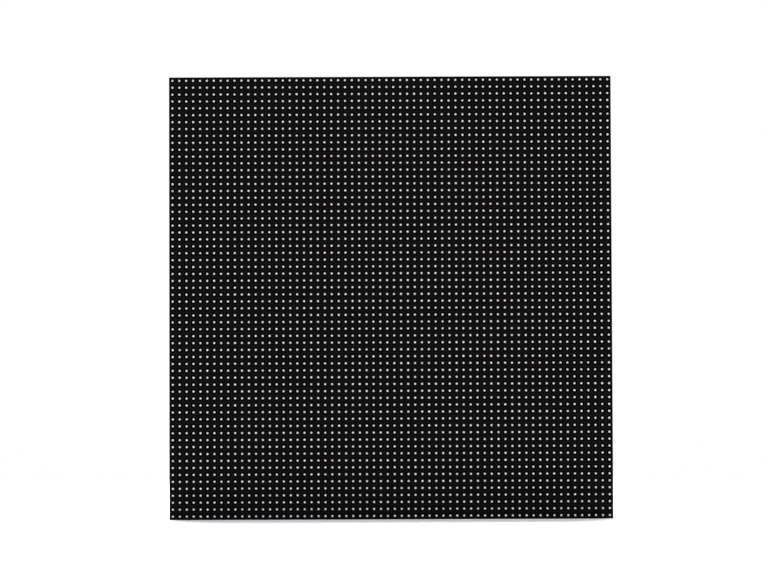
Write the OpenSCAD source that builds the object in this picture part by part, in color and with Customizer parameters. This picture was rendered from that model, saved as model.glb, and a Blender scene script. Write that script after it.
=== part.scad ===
// LED display module: a square tile of surface-mount lamps behind a moulded black mask.
// The tile stands upright: X runs to the right, Z up, and the face with the lamps looks along -Y.
// The origin is the middle of the mounting plane, where the rear frame meets its carrier.
// Sub-parts are drawn lying down, with z = 0 on the mounting plane and z rising to the face,
// and are stood upright by face_forward().

/* [Display] */
// Lamps along each side of the square
lamp_count = 64; // [60:2:68]
// Distance between lamp centres
pitch = 4; // [3.9:0.05:5]
// Gap left between this module and the next one
module_gap = 0.2; // [0.1:0.05:0.5]

/* [Lamps] */
// Diameter of the white window of a lamp
lens_d = 1.45; // [1.2:0.05:2]
// Height of a lamp above the board
lamp_h = 1; // [0.8:0.05:1.4]

/* [Front mask] */
// Thickness of the mask at its windows
mask_t = 1.6; // [1.4:0.1:2.4]
// Diameter of a window in the mask
window_d = 3.1; // [2.9:0.05:3.2]
// Width of the rib between two rows of windows
rib_w = 0.6; // [0.4:0.05:0.7]
// Height of a rib above the mask, and depth of the groove behind it that keeps the wall even
rib_h = 0.3; // [0.1:0.05:0.5]

/* [Circuit board] */
// Thickness of the board
board_t = 1.6; // [1.2:0.2:2.4]
// Board edge set back from the module's edge
board_inset = 0.1; // [0.05:0.05:0.5]

/* [Rear frame] */
// Depth of the frame, from the board to the mounting plane
frame_depth = 10.5; // [10:0.25:16]
// Outer wall set back from the module's edge
frame_inset = 0.2; // [0.1:0.05:0.5]
// Thickness of the outer wall
frame_wall = 2; // [1.6:0.1:2.5]
// Thickness of the web on the mounting plane
web_t = 2.5; // [2:0.1:3.5]
// Width of the rim
rim_w = 14; // [13:0.25:17]
// Width of the cross bars
bar_w = 12; // [11:0.25:15]
// Cross bars' distance from the middle, counted in lamps
bar_lamps = 10; // [9:1:11]
// Thickness of the wall round each opening
opening_wall = 1.8; // [1.2:0.1:2.2]
// Corner radius of the openings
opening_r = 2.5; // [2:0.25:8]

/* [Mask pillars] */
// Diameter of a pillar behind the mask
pillar_d = 2.4; // [2.2:0.05:2.4]
// How far a pillar reaches past the board into its boss
pillar_reach = 2; // [1:0.25:3]
// Clearance all round a pillar
pillar_clear = 0.1; // [0.05:0.05:0.2]
// Diameter of the spigot that is pressed into the mask
spigot_d = 1.3; // [1:0.05:1.5]
// Length of that spigot
spigot_len = 1; // [0.6:0.1:1.1]
// Solid length of a pillar between its bore and the mask
pillar_solid = 0.3; // [0.2:0.05:0.5]

/* [Mask screws] */
// Thread diameter of a screw
screw_d = 1.7; // [1.5:0.05:1.8]
// Length of a screw under its head
screw_len = 8; // [7:0.25:9]
// Diameter of a screw's head
head_d = 3.2; // [2.8:0.1:3.6]
// Height of a screw's head
head_h = 1.2; // [0.9:0.1:1.5]
// Height of the rounded edge of a head
head_round = 0.4; // [0.2:0.05:0.6]
// Length of the cross recess, from end to end
drive_d = 1.5; // [1:0.1:1.8]
// Width of the slots of the cross recess
drive_w = 0.4; // [0.3:0.05:0.5]
// Depth of the cross recess
drive_depth = 0.7; // [0.4:0.05:0.8]
// Length of the tapered tip
screw_taper = 0.9; // [0.5:0.1:1.5]
// Outside diameter of the boss that a screw sits in
screw_boss_d = 6.6; // [5.8:0.1:7.4]
// Outer screws' distance from the module's edge, counted in lamps
screw_edge_lamps = 2; // [2:1:3]
// Space between a screw's tip and the end of the bore that it bites into
tip_gap = 0.2; // [0.1:0.05:0.7]

/* [Threaded inserts] */
// Diameter of the thread's bore
insert_bore = 2.5; // [2:0.05:3.3]
// Outside diameter of an insert
insert_d = 4.6; // [4.2:0.1:5.4]
// Length of an insert
insert_len = 5; // [4:0.25:6]
// Depth of the groove round an insert's waist
insert_groove = 0.4; // [0.2:0.05:0.5]
// Length of the plain band at each end of an insert
insert_land = 1.9; // [1:0.1:2]
// Room for the screw's end behind an insert
insert_relief = 2; // [1:0.25:3]
// Outside diameter of the boss that holds an insert
insert_boss_d = 8; // [7:0.25:9]
// Rows of inserts, distance from the module's edge
insert_edge = 8; // [7:0.25:9]
// Distance between the top and bottom inserts
insert_span = 208; // [180:1:212]

/* [Locating pins] */
// Diameter of a locating pin
pin_d = 5; // [4:0.25:6]
// Length of a locating pin behind the mounting plane
pin_h = 4; // [2:0.25:6]
// Length of the tapered end of a pin
pin_lead = 1; // [0.5:0.25:1.5]
// Pins' distance from the middle, along the rim
pin_x = 80; // [60:1:100]

/* [Data headers] */
// Contacts in each of the two rows
header_ways = 8; // [5:1:10]
// Distance between contacts
contact_pitch = 2.54; // [2:0.01:2.54]
// Width of a shroud
header_w = 9.1; // [8.8:0.1:10]
// Height of a shroud above the board
header_h = 9.2; // [8.5:0.1:9.8]
// Thickness of a shroud's wall
header_wall = 1.2; // [0.9:0.1:1.4]
// Thickness of a shroud's floor
header_floor = 2; // [1.5:0.1:3]
// From the last contact to the end of the shroud
header_end = 5.1; // [4:0.1:6]
// Width of the key slot in the shroud
key_w = 4.5; // [3:0.1:6]
// Width of a contact
contact_w = 0.64; // [0.5:0.02:0.7]
// Height of a contact above the board
contact_h = 7.8; // [6:0.1:8.2]

/* [Power header] */
// Contacts in the power header
power_ways = 4; // [2:1:6]
// Distance between power contacts
power_pitch = 3.96; // [3.5:0.01:3.96]
// Width of the housing
power_w = 8.2; // [7.5:0.1:9]
// Height of the housing's base
power_base_h = 3.4; // [2.5:0.1:4.5]
// Height of the locking wall above the board
power_lock_h = 9; // [7:0.1:9.6]
// Thickness of the locking wall
power_lock_t = 1.2; // [0.9:0.1:1.6]
// From the last contact to the end of the housing
power_end = 1.95; // [1.5:0.05:3]
// Width of a power contact
power_contact_w = 1.14; // [0.9:0.02:1.3]
// Height of a power contact above the board
power_contact_h = 8.4; // [6:0.1:9]

/* [Chips] */
// Column driver: length of the body
driver_l = 8.65; // [7:0.05:10]
// Column driver: width of the body
driver_w = 3.9; // [3.5:0.1:5]
// Column driver: distance between leads
driver_lead_pitch = 0.635; // [0.5:0.005:0.65]
// Row driver: length of the body
row_l = 9.9; // [9.6:0.1:11]
// Row driver: width of the body
row_w = 3.9; // [3.5:0.1:5]
// Row driver: distance between leads
row_lead_pitch = 1.27; // [1:0.01:1.27]
// Buffer: length of the body
buffer_l = 6.5; // [6.4:0.1:8]
// Buffer: width of the body
buffer_w = 4.4; // [4:0.1:5]
// Buffer: distance between leads
buffer_lead_pitch = 0.65; // [0.5:0.01:0.65]
// Height of a chip above the board
chip_h = 1.6; // [1.2:0.05:2]
// How far the sides of a chip lean in from its parting line
chip_draft = 0.14; // [0.05:0.01:0.2]
// Thickness of a lead
lead_d = 0.28; // [0.2:0.02:0.34]
// Height of the leads' middle above the board
lead_z = 0.3; // [0.2:0.02:0.4]
// How far a lead stands out of the body
lead_reach = 1.05; // [0.8:0.05:1.4]

/* [Passive parts] */
// Diameter of an electrolytic capacitor's can
can_d = 6.3; // [5:0.1:8]
// Height of an electrolytic capacitor above the board
can_h = 7.7; // [5.5:0.1:8.5]
// Width of the square base under a can
can_base_w = 6.6; // [5.5:0.1:8.5]
// Height of that base
can_base_h = 1.1; // [0.8:0.1:1.6]
// Depth of the groove rolled into a can, and of its rounded edge
can_crimp = 0.3; // [0.1:0.05:0.5]
// Corner cut off the base, on the side of one terminal
can_corner = 1.3; // [0.8:0.1:1.6]
// Length of a chip capacitor
chip_cap_l = 1.6; // [1:0.1:2]
// Width of a chip capacitor
chip_cap_w = 0.8; // [0.5:0.1:1.2]
// Height of a chip capacitor
chip_cap_h = 0.8; // [0.5:0.1:1.2]
// Length of a resistor array
array_l = 3.2; // [2:0.1:3.6]
// Width of a resistor array
array_w = 1.6; // [1:0.1:2]
// Height of a resistor array
array_h = 0.55; // [0.4:0.05:0.8]

/* [Board layout] */
// Column drivers, sideways from the middle of their opening
driver_dx = 17; // [10:0.5:24]
// Column drivers, up and down from the middle of their opening
driver_dy = 19; // [10:0.5:24]
// Row drivers, sideways from the data header
row_dx = 20; // [15:0.5:26]
// Row drivers, up and down from the middle of the board
row_dy = 18; // [10:0.5:24]
// Buffers, sideways from the middle of the board
buffer_dx = 22; // [12:0.5:26]
// Buffers, up and down from the middle of the board
buffer_dy = 20; // [12:0.5:24]
// Cans beside the power header, sideways from the middle of the board
can_dx = 22; // [16:0.5:26]
// Chip capacitors, above the chip that they serve
decouple_dy = 5.5; // [4.5:0.25:7]
// Resistor arrays, sideways from the data header
array_dx = 9; // [7:0.25:12]
// Resistor arrays, distance from one to the next
array_step = 5; // [4:0.25:7]

/* [Clearances] */
// Between pieces that are fitted into each other
fit = 0.02; // [0.01:0.01:0.05]
// All round a screw in the hole that it passes through
screw_clear = 0.15; // [0.05:0.05:0.2]
// All round a screw's head
head_clear = 0.3; // [0.1:0.05:0.4]
// Past the end of a pillar or its spigot in its socket
socket_gap = 0.2; // [0.1:0.05:0.4]

/* [Hidden] */
// Overlap that makes a cut pass cleanly through a face
cut = 0.5;
round_fn = 48;
lamp_fn = 32;

module_side = lamp_count * pitch - module_gap;
half = module_side / 2;
board_side = module_side - 2 * board_inset;
frame_side = module_side - 2 * frame_inset;
board_back = frame_depth;
board_front = board_back + board_t;

// Middle lines of bars, screws, inserts and openings
bar_line = bar_lamps * pitch;
screw_line = (lamp_count / 2 - screw_edge_lamps) * pitch;
insert_line = half - insert_edge;
rim_inner = frame_side / 2 - rim_w;
outer_opening = rim_inner - bar_line - bar_w / 2;
inner_opening = 2 * bar_line - bar_w;
opening_line = rim_inner - outer_opening / 2;
OPENING_LINES = [-opening_line, 0, opening_line];
SCREW_LINES = [-screw_line, -bar_line, bar_line, screw_line];
INSERT_HEIGHTS = [-insert_span / 2, 0, insert_span / 2];

// Depths of the fixings
pillar_end = board_back - pillar_reach;
bore_end = board_front - pillar_solid;
screw_tip = bore_end - tip_gap;
head_seat = screw_tip - screw_len;

// Fixed by the kind of package, and by the electronics
arrays_in_column = 4;
driver_ways = 12;
row_ways = 8;
buffer_ways = 10;
driver_count = 24;
row_count = 8;
buffer_count = 4;
can_count = 8;

// Places of the chips and cans: x and y on the board
DRIVER_PLACES = [for (y = [opening_line, -opening_line], sy = [1, -1], x = OPENING_LINES, sx = [-1, 1])
  [x + sx * driver_dx, y + sy * driver_dy]];
ROW_PLACES = [for (x = [-opening_line, opening_line], sx = [-1, 1], sy = [1, -1])
  [x + sx * row_dx, sy * row_dy]];
BUFFER_PLACES = [for (sy = [1, -1], sx = [-1, 1]) [sx * buffer_dx, sy * buffer_dy]];
CAN_PLACES = concat(
  [for (y = [opening_line, -opening_line], x = OPENING_LINES) [x, y]],
  [for (sx = [-1, 1]) [sx * can_dx, 0]]
);

// Stands a piece that was drawn lying down upright, with its face towards -Y
module face_forward() {
  rotate([90, 0, 0]) children();
}

// Puts a piece that is drawn standing on z = 0 onto the back of the board
module on_board_back(place, turn = 0) {
  translate([place[0], place[1], board_back]) rotate([180, 0, turn]) children();
}

module at_screws() {
  for (x = SCREW_LINES, y = SCREW_LINES) translate([x, y, 0]) children();
}

module at_inserts() {
  for (x = [-insert_line, insert_line], y = INSERT_HEIGHTS) translate([x, y, 0]) children();
}

module centred_block(length, width, height) {
  translate([-length / 2, -width / 2, 0]) cube([length, width, height]);
}

module rounded_square(width, height, radius) {
  union() {
    square([width - 2 * radius, height], center = true);
    square([width, height - 2 * radius], center = true);
    for (sx = [-1, 1], sy = [-1, 1])
      translate([sx * (width / 2 - radius), sy * (height / 2 - radius)]) circle(radius, $fn = round_fn);
  }
}

// Front mask: a strip with one window for each lamp of a row, a rib between rows, and sockets for the pillars
function row_y(row) = (row - (lamp_count - 1) / 2) * pitch;

// Sockets on the screw lines that run through a strip or rib, or along its edge
module spigot_sockets(y) {
  for (line = SCREW_LINES) if (abs(line - y) < pitch)
    for (x = SCREW_LINES) translate([x, line, board_front - cut])
      cylinder(d = spigot_d + 2 * fit, h = spigot_len + socket_gap + cut, $fn = round_fn);
}

module window_strip(row) {
  // The first and the last strip end at the mask's edge
  low = row == 0 ? -half : row_y(row) - pitch / 2 + rib_w / 2;
  high = row == lamp_count - 1 ? half : row_y(row) + pitch / 2 - rib_w / 2;
  difference() {
    translate([-half, low, board_front]) cube([module_side, high - low, mask_t]);
    for (column = [0:lamp_count - 1])
      translate([row_y(column), row_y(row), board_front - cut])
        cylinder(d = window_d, h = mask_t + 2 * cut, $fn = lamp_fn);
    spigot_sockets(row_y(row));
  }
}

module mask_rib(row) {
  middle = row_y(row) + pitch / 2;
  difference() {
    translate([-half, middle - rib_w / 2, board_front + rib_h]) cube([module_side, rib_w, mask_t]);
    spigot_sockets(middle);
  }
}

module front_mask() {
  color("#161514") face_forward() union() {
    for (row = [0:lamp_count - 1]) window_strip(row);
    for (row = [0:lamp_count - 2]) mask_rib(row);
  }
}

module led_lenses() {
  color("#e4e2df") face_forward()
    for (row = [0:lamp_count - 1], column = [0:lamp_count - 1])
      translate([row_y(column), row_y(row), board_front]) cylinder(d = lens_d, h = lamp_h, $fn = lamp_fn);
}

module circuit_board() {
  color("#101512") face_forward() difference() {
    translate([0, 0, board_back]) centred_block(board_side, board_side, board_t);
    at_screws()
      translate([0, 0, board_back - cut])
        cylinder(d = pillar_d + 2 * pillar_clear, h = board_t + 2 * cut, $fn = round_fn);
  }
}

// Rear frame: a moulded tray with a web on the mounting plane, open channels towards the board
function opening_size(line) = line == 0 ? inner_opening : outer_opening;

module frame_channels() {
  translate([0, 0, web_t]) linear_extrude(frame_depth - web_t + cut) difference() {
    square(frame_side - 2 * frame_wall, center = true);
    for (x = OPENING_LINES, y = OPENING_LINES)
      translate([x, y])
        rounded_square(
          opening_size(x) + 2 * opening_wall,
          opening_size(y) + 2 * opening_wall,
          opening_r + opening_wall
        );
  }
}

module frame_openings() {
  for (x = OPENING_LINES, y = OPENING_LINES)
    translate([x, y, -cut])
      linear_extrude(frame_depth + 2 * cut) rounded_square(opening_size(x), opening_size(y), opening_r);
}

module screw_hole() {
  translate([0, 0, -cut]) cylinder(d = head_d + 2 * head_clear, h = head_seat + cut, $fn = round_fn);
  cylinder(d = screw_d + 2 * screw_clear, h = frame_depth, $fn = round_fn);
  translate([0, 0, pillar_end - socket_gap])
    cylinder(d = pillar_d + 2 * pillar_clear, h = pillar_reach + socket_gap + cut, $fn = round_fn);
}

module insert_hole() {
  translate([0, 0, -cut]) cylinder(d = insert_d + 2 * fit, h = insert_len + cut, $fn = round_fn);
  cylinder(d = insert_d - 2 * insert_groove, h = insert_len + insert_relief, $fn = round_fn);
}

module locating_pin() {
  translate([0, 0, -pin_h + pin_lead]) cylinder(d = pin_d, h = pin_h - pin_lead + web_t, $fn = round_fn);
  translate([0, 0, -pin_h]) cylinder(d1 = pin_d - pin_lead, d2 = pin_d, h = pin_lead, $fn = round_fn);
}

module rear_frame() {
  color("#1c1c1d") face_forward() difference() {
    union() {
      difference() {
        centred_block(frame_side, frame_side, frame_depth);
        frame_channels();
        frame_openings();
      }
      at_screws() cylinder(d = screw_boss_d, h = frame_depth, $fn = round_fn);
      at_inserts() cylinder(d = insert_boss_d, h = frame_depth, $fn = round_fn);
      for (side = [-1, 1]) translate([side * pin_x, side * insert_line, 0]) locating_pin();
    }
    at_screws() screw_hole();
    at_inserts() insert_hole();
  }
}

// Brass insert: a turned sleeve with a groove round its waist
module insert_sleeve() {
  waist = insert_d / 2 - insert_groove;
  rotate_extrude($fn = round_fn) polygon([
    [insert_bore / 2, 0],
    [insert_d / 2, 0],
    [insert_d / 2, insert_land],
    [waist, insert_land + insert_groove / 2],
    [waist, insert_len - insert_land - insert_groove / 2],
    [insert_d / 2, insert_len - insert_land],
    [insert_d / 2, insert_len],
    [insert_bore / 2, insert_len]
  ]);
}

module threaded_inserts() {
  color("#b8923f") face_forward() at_inserts() insert_sleeve();
}

// Brass pillar: its spigot is pressed into the mask, and its bore takes a screw from behind
module mask_pillar() {
  difference() {
    union() {
      translate([0, 0, pillar_end]) cylinder(d = pillar_d, h = board_front - pillar_end, $fn = round_fn);
      translate([0, 0, bore_end]) cylinder(d = spigot_d, h = pillar_solid + spigot_len, $fn = round_fn);
    }
    translate([0, 0, pillar_end - cut])
      cylinder(d = screw_d + 2 * fit, h = bore_end - pillar_end + cut, $fn = round_fn);
  }
}

module mask_pillars() {
  color("#b8923f") face_forward() at_screws() mask_pillar();
}

// Mask screw: pan head with a cross recess, and a shank with a tapered tip
module mask_screw() {
  union() {
    difference() {
      translate([0, 0, head_seat - head_h]) {
        cylinder(d1 = head_d - 2 * head_round, d2 = head_d, h = head_round, $fn = round_fn);
        translate([0, 0, head_round]) cylinder(d = head_d, h = head_h - head_round, $fn = round_fn);
      }
      translate([0, 0, head_seat - head_h - cut]) {
        centred_block(drive_d, drive_w, drive_depth + cut);
        centred_block(drive_w, drive_d, drive_depth + cut);
      }
    }
    translate([0, 0, head_seat]) cylinder(d = screw_d, h = screw_len - screw_taper, $fn = round_fn);
    translate([0, 0, screw_tip - screw_taper])
      cylinder(d1 = screw_d, d2 = screw_d / 2, h = screw_taper, $fn = round_fn);
  }
}

module mask_screws() {
  color("#3a3a3c") face_forward() at_screws() mask_screw();
}

// Data header: an open shroud with a key slot, and two rows of square contacts
function contact_at(index, ways, step) = (index - (ways - 1) / 2) * step;

module at_contacts() {
  for (way = [0:header_ways - 1], side = [-1, 1])
    translate([contact_at(way, header_ways, contact_pitch), side * contact_pitch / 2, 0]) children();
}

module square_contact(width, height) {
  // A square bar whose end is chamfered on two sides, down to a third of its width
  chamfer = width / 3;
  rotate([90, 0, 0]) translate([0, 0, -width / 2]) linear_extrude(width) polygon([
    [-width / 2, 0],
    [width / 2, 0],
    [width / 2, height - 2 * chamfer],
    [width / 2 - chamfer, height],
    [-width / 2 + chamfer, height],
    [-width / 2, height - 2 * chamfer]
  ]);
}

module header_shroud() {
  length = (header_ways - 1) * contact_pitch + 2 * header_end;
  difference() {
    centred_block(length, header_w, header_h);
    translate([0, 0, header_floor])
      centred_block(length - 2 * header_wall, header_w - 2 * header_wall, header_h - header_floor + cut);
    translate([-key_w / 2, header_w / 2 - header_wall - cut, header_floor])
      cube([key_w, header_wall + 2 * cut, header_h - header_floor + cut]);
    at_contacts() translate([0, 0, -cut])
      centred_block(contact_w + 2 * fit, contact_w + 2 * fit, header_floor + 2 * cut);
  }
}

module header_contacts() {
  at_contacts() square_contact(contact_w, contact_h);
}

module data_in_shroud() {
  color("#19191a") face_forward() on_board_back([-opening_line, 0], 90) header_shroud();
}

module data_in_contacts() {
  color("#c9a552") face_forward() on_board_back([-opening_line, 0], 90) header_contacts();
}

module data_out_shroud() {
  color("#19191a") face_forward() on_board_back([opening_line, 0], 90) header_shroud();
}

module data_out_contacts() {
  color("#c9a552") face_forward() on_board_back([opening_line, 0], 90) header_contacts();
}

// Power header: a base, a locking wall along one side, and one row of stout contacts
module at_power_contacts() {
  for (way = [0:power_ways - 1]) translate([contact_at(way, power_ways, power_pitch), 0, 0]) children();
}

module power_shell() {
  length = (power_ways - 1) * power_pitch + 2 * power_end;
  difference() {
    union() {
      centred_block(length, power_w, power_base_h);
      translate([-length / 2, power_w / 2 - power_lock_t, 0]) cube([length, power_lock_t, power_lock_h]);
    }
    at_power_contacts() translate([0, 0, -cut])
      centred_block(power_contact_w + 2 * fit, power_contact_w + 2 * fit, power_base_h + 2 * cut);
    // Gaps in the locking wall for the ribs of the plug
    for (way = [0:power_ways - 2])
      translate([contact_at(way, power_ways, power_pitch) + power_pitch / 2, power_w / 2, power_base_h])
        centred_block(power_lock_t, 4 * power_lock_t, power_lock_h);
  }
}

module power_housing() {
  color("#e9e7df") face_forward() on_board_back([0, 0]) power_shell();
}

module power_contacts() {
  color("#b9bcc0") face_forward() on_board_back([0, 0])
    at_power_contacts() square_contact(power_contact_w, power_contact_h);
}

// Chip: a moulded body that tapers from its parting line, with a row of leads on each long side
module drafted_prism(width, length) {
  rotate([90, 0, 0]) translate([0, 0, -length / 2]) linear_extrude(length) polygon([
    [-width / 2 + chip_draft, 0],
    [width / 2 - chip_draft, 0],
    [width / 2, chip_h / 2],
    [width / 2 - chip_draft, chip_h],
    [-width / 2 + chip_draft, chip_h],
    [-width / 2, chip_h / 2]
  ]);
}

module chip(length, width, ways, lead_pitch) {
  union() {
    intersection() {
      drafted_prism(length, width + cut);
      rotate([0, 0, 90]) drafted_prism(width, length + cut);
    }
    for (way = [0:ways - 1], side = [0, 180])
      rotate([0, 0, side])
        translate([contact_at(way, ways, lead_pitch), width / 4, lead_z])
          rotate([-90, 0, 0]) cylinder(d = lead_d, h = width / 4 + lead_reach, $fn = lamp_fn);
  }
}

module driver_chip(index) {
  color("#1a1a1b") face_forward() on_board_back(DRIVER_PLACES[index - 1])
    chip(driver_l, driver_w, driver_ways, driver_lead_pitch);
}

module row_chip(index) {
  color("#1a1a1b") face_forward() on_board_back(ROW_PLACES[index - 1], 90)
    chip(row_l, row_w, row_ways, row_lead_pitch);
}

module buffer_chip(index) {
  color("#1a1a1b") face_forward() on_board_back(BUFFER_PLACES[index - 1])
    chip(buffer_l, buffer_w, buffer_ways, buffer_lead_pitch);
}

// Electrolytic capacitor: a drawn can with a rolled groove, on a square base with two cut corners
module can() {
  edge = can_base_w / 2;
  wall = can_d / 2;
  union() {
    linear_extrude(can_base_h) polygon([
      [-edge, -edge],
      [edge - can_corner, -edge],
      [edge, -edge + can_corner],
      [edge, edge - can_corner],
      [edge - can_corner, edge],
      [-edge, edge]
    ]);
    rotate_extrude($fn = round_fn) polygon([
      [0, can_base_h / 2],
      [wall, can_base_h / 2],
      [wall, can_base_h + 2 * can_crimp],
      [wall - can_crimp, can_base_h + 3 * can_crimp],
      [wall, can_base_h + 4 * can_crimp],
      [wall, can_h - can_crimp],
      [wall - can_crimp, can_h],
      [0, can_h]
    ]);
  }
}

module electrolytic_can(index) {
  color("#b4b6b8") face_forward() on_board_back(CAN_PLACES[index - 1]) can();
}

module resistor_arrays() {
  color("#202022") face_forward()
    for (x = [-opening_line, opening_line], side = [-1, 1], step = [0:arrays_in_column - 1])
      on_board_back([x + side * array_dx, contact_at(step, arrays_in_column, array_step)], 90)
        centred_block(array_l, array_w, array_h);
}

module chip_capacitors() {
  color("#a98a63") face_forward() {
    for (place = DRIVER_PLACES)
      on_board_back([place[0], place[1] + decouple_dy])
        centred_block(chip_cap_l, chip_cap_w, chip_cap_h);
    for (place = BUFFER_PLACES)
      on_board_back([place[0], place[1] + decouple_dy])
        centred_block(chip_cap_l, chip_cap_w, chip_cap_h);
  }
}

front_mask();
led_lenses();
circuit_board();
rear_frame();
threaded_inserts();
mask_pillars();
mask_screws();
data_in_shroud();
data_in_contacts();
data_out_shroud();
data_out_contacts();
power_housing();
power_contacts();
resistor_arrays();
chip_capacitors();
for (i = [1:driver_count]) driver_chip(i);
for (i = [1:row_count]) row_chip(i);
for (i = [1:buffer_count]) buffer_chip(i);
for (i = [1:can_count]) electrolytic_can(i);
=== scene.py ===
"""LED display module: lamp field, mask, electronics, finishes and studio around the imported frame.

Every mesh is in metres in the frame of the part: X to the right, Z up, and the lamps face -Y.
Pieces are worked out on a flat work plane (u to the right, v up, w towards the viewer) and are then
placed on the front or on the back of the circuit board.
"""
from __future__ import annotations

import logging
import math
from dataclasses import dataclass, replace
from enum import Enum
from typing import Any, Sequence

import bpy
import numpy as np
from mathutils import Matrix, Vector

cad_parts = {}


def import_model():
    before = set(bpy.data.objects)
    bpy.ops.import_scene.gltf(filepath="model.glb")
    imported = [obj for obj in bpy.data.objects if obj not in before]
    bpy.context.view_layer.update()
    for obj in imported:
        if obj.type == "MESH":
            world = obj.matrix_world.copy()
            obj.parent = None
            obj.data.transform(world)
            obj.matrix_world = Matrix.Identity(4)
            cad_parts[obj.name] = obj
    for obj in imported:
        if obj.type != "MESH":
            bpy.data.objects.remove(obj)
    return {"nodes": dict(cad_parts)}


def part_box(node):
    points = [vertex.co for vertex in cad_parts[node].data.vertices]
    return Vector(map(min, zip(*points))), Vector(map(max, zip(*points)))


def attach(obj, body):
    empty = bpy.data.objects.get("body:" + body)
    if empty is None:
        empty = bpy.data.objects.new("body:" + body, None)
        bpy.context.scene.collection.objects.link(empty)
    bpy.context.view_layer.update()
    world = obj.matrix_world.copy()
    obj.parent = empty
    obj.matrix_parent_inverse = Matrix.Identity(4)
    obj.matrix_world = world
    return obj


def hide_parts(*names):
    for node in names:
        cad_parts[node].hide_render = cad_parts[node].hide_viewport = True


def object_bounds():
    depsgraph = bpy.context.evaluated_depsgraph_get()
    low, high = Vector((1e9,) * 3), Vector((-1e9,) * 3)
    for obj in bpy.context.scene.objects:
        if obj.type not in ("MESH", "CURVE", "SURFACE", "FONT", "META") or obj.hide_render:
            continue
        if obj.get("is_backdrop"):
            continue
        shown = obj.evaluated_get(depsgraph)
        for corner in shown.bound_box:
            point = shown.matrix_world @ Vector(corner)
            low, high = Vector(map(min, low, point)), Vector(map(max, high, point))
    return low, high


Array = np.ndarray
Tree = bpy.types.NodeTree
Socket = bpy.types.NodeSocket

LOG = logging.getLogger("display_module")
MM = 0.001
BODY = "root"
DATA_HEADERS = ["data_in_shroud", "data_out_shroud"]
ALL_HEADERS = [*DATA_HEADERS, "power_housing"]
WHITE = "#ffffff"


def linear(hex_colour: str) -> tuple[float, float, float, float]:
    """Turn an sRGB hex colour into the linear colour that shaders take.

    Args:
        hex_colour: Six hex digits after a hash sign.

    Returns:
        Linear red, green and blue, and an alpha of 1.
    """
    channels = [int(hex_colour[i:i + 2], 16) / 255 for i in (1, 3, 5)]
    red, green, blue = (c / 12.92 if c <= 0.04045 else ((c + 0.055) / 1.055) ** 2.4 for c in channels)
    return red, green, blue, 1.0


def add_node(
    tree: Tree,
    kind: str,
    settings: dict[str | int, Any] | None = None,
    links: dict[str | int, Socket] | None = None,
) -> bpy.types.Node:
    """Add one node with its settings and links.

    Args:
        tree: Node tree that takes the node.
        kind: Blender's name for the node type.
        settings: Node properties by lower-case names, and socket values by capitalised names or numbers.
        links: Sockets to join to this node's inputs, by input name or number.

    Returns:
        The new node.
    """
    node = tree.nodes.new(kind)
    for key, value in (settings or {}).items():
        if isinstance(key, str) and key[0].islower():
            setattr(node, key, value)
        else:
            node.inputs[key].default_value = value
    for key, socket in (links or {}).items():
        tree.links.new(socket, node.inputs[key])
    return node


def empty_tree(owner: bpy.types.Material | bpy.types.World) -> Tree:
    """Clear the node tree of a new material or world.

    Args:
        owner: Material or world, which is switched to nodes.

    Returns:
        Its node tree, with no nodes.
    """
    owner.use_nodes = True
    owner.node_tree.nodes.clear()
    return owner.node_tree


def add_object(name: str, data: bpy.types.ID) -> bpy.types.Object:
    """Put a new object into the scene, at the origin.

    Args:
        name: Name of the object.
        data: Its mesh, light or camera.

    Returns:
        The new object.
    """
    item = bpy.data.objects.new(name, data)
    bpy.context.scene.collection.objects.link(item)
    return item


def extent(solid: bpy.types.Object) -> Array:
    """Return the lowest and the highest corner of a solid, in metres."""
    corners = np.array(solid.bound_box)
    return np.stack([corners.min(axis=0), corners.max(axis=0)])


# Surfaces as arrays


@dataclass
class Surface:
    """A surface as arrays: points, faces by their number of corners, and a UV and a tone for each point."""

    points: Array
    faces: list[Array]
    uv: Array | None = None
    tone: Array | None = None

    def tiled(self, offsets: Array, tones: Array | None = None) -> Surface:
        """Repeat the surface at each offset, by adding offsets and points as whole arrays.

        Args:
            offsets: Array of places, one row each.
            tones: Tone of each copy.

        Returns:
            One surface that holds all the copies.
        """
        copies, size = len(offsets), len(self.points)
        points = (offsets[:, None, :] + self.points[None]).reshape(-1, 3)
        shifts = (np.arange(copies) * size)[:, None, None]
        faces = [(f[None] + shifts).reshape(-1, f.shape[1]) for f in self.faces]
        uv = None if self.uv is None else np.tile(self.uv, (copies, 1))
        tone = None if tones is None else np.repeat(tones, size)
        return Surface(points, faces, uv, tone)

    def turned(self, quarters: int = 1) -> Surface:
        """Turn the surface anticlockwise on the work plane: each quarter turn takes (u, v) to (-v, u).

        Args:
            quarters: Number of quarter turns.

        Returns:
            The turned surface.
        """
        points = self.points
        for _ in range(quarters):
            points = points[:, (1, 0, 2)] * np.array([-1.0, 1.0, 1.0])
        return replace(self, points=points)


class PointBank:
    """Collects patches of points for one surface, and gives each patch's points their indices."""

    def __init__(self) -> None:
        """Start with no points."""
        self.patches: list[Array] = []
        self.size = 0

    def add(self, patch: Array) -> Array:
        """Take a patch of points.

        Args:
            patch: Array whose last axis holds u, v and w.

        Returns:
            Indices of the points, in the patch's own shape.
        """
        count = patch.size // 3
        index = self.size + np.arange(count).reshape(patch.shape[:-1])
        self.patches.append(patch.reshape(-1, 3))
        self.size += count
        return index

    def points(self) -> Array:
        """Return all the points, one row each."""
        return np.concatenate(self.patches)


class Ends(Enum):
    """How a stack of rings ends."""

    CAPPED = "a face on the first and on the last ring"
    FOOT = "a face on the first ring only"
    LOOPED = "the last ring joined to the first"


def joined(parts: Sequence[Surface]) -> Surface:
    """Join surfaces into one, with the indices of each shifted past those before it.

    Args:
        parts: Surfaces without UV or tone.

    Returns:
        One surface.
    """
    starts = np.cumsum([0] + [len(p.points) for p in parts])
    faces = [f + start for p, start in zip(parts, starts) for f in p.faces]
    return Surface(np.concatenate([p.points for p in parts]), faces)


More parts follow.
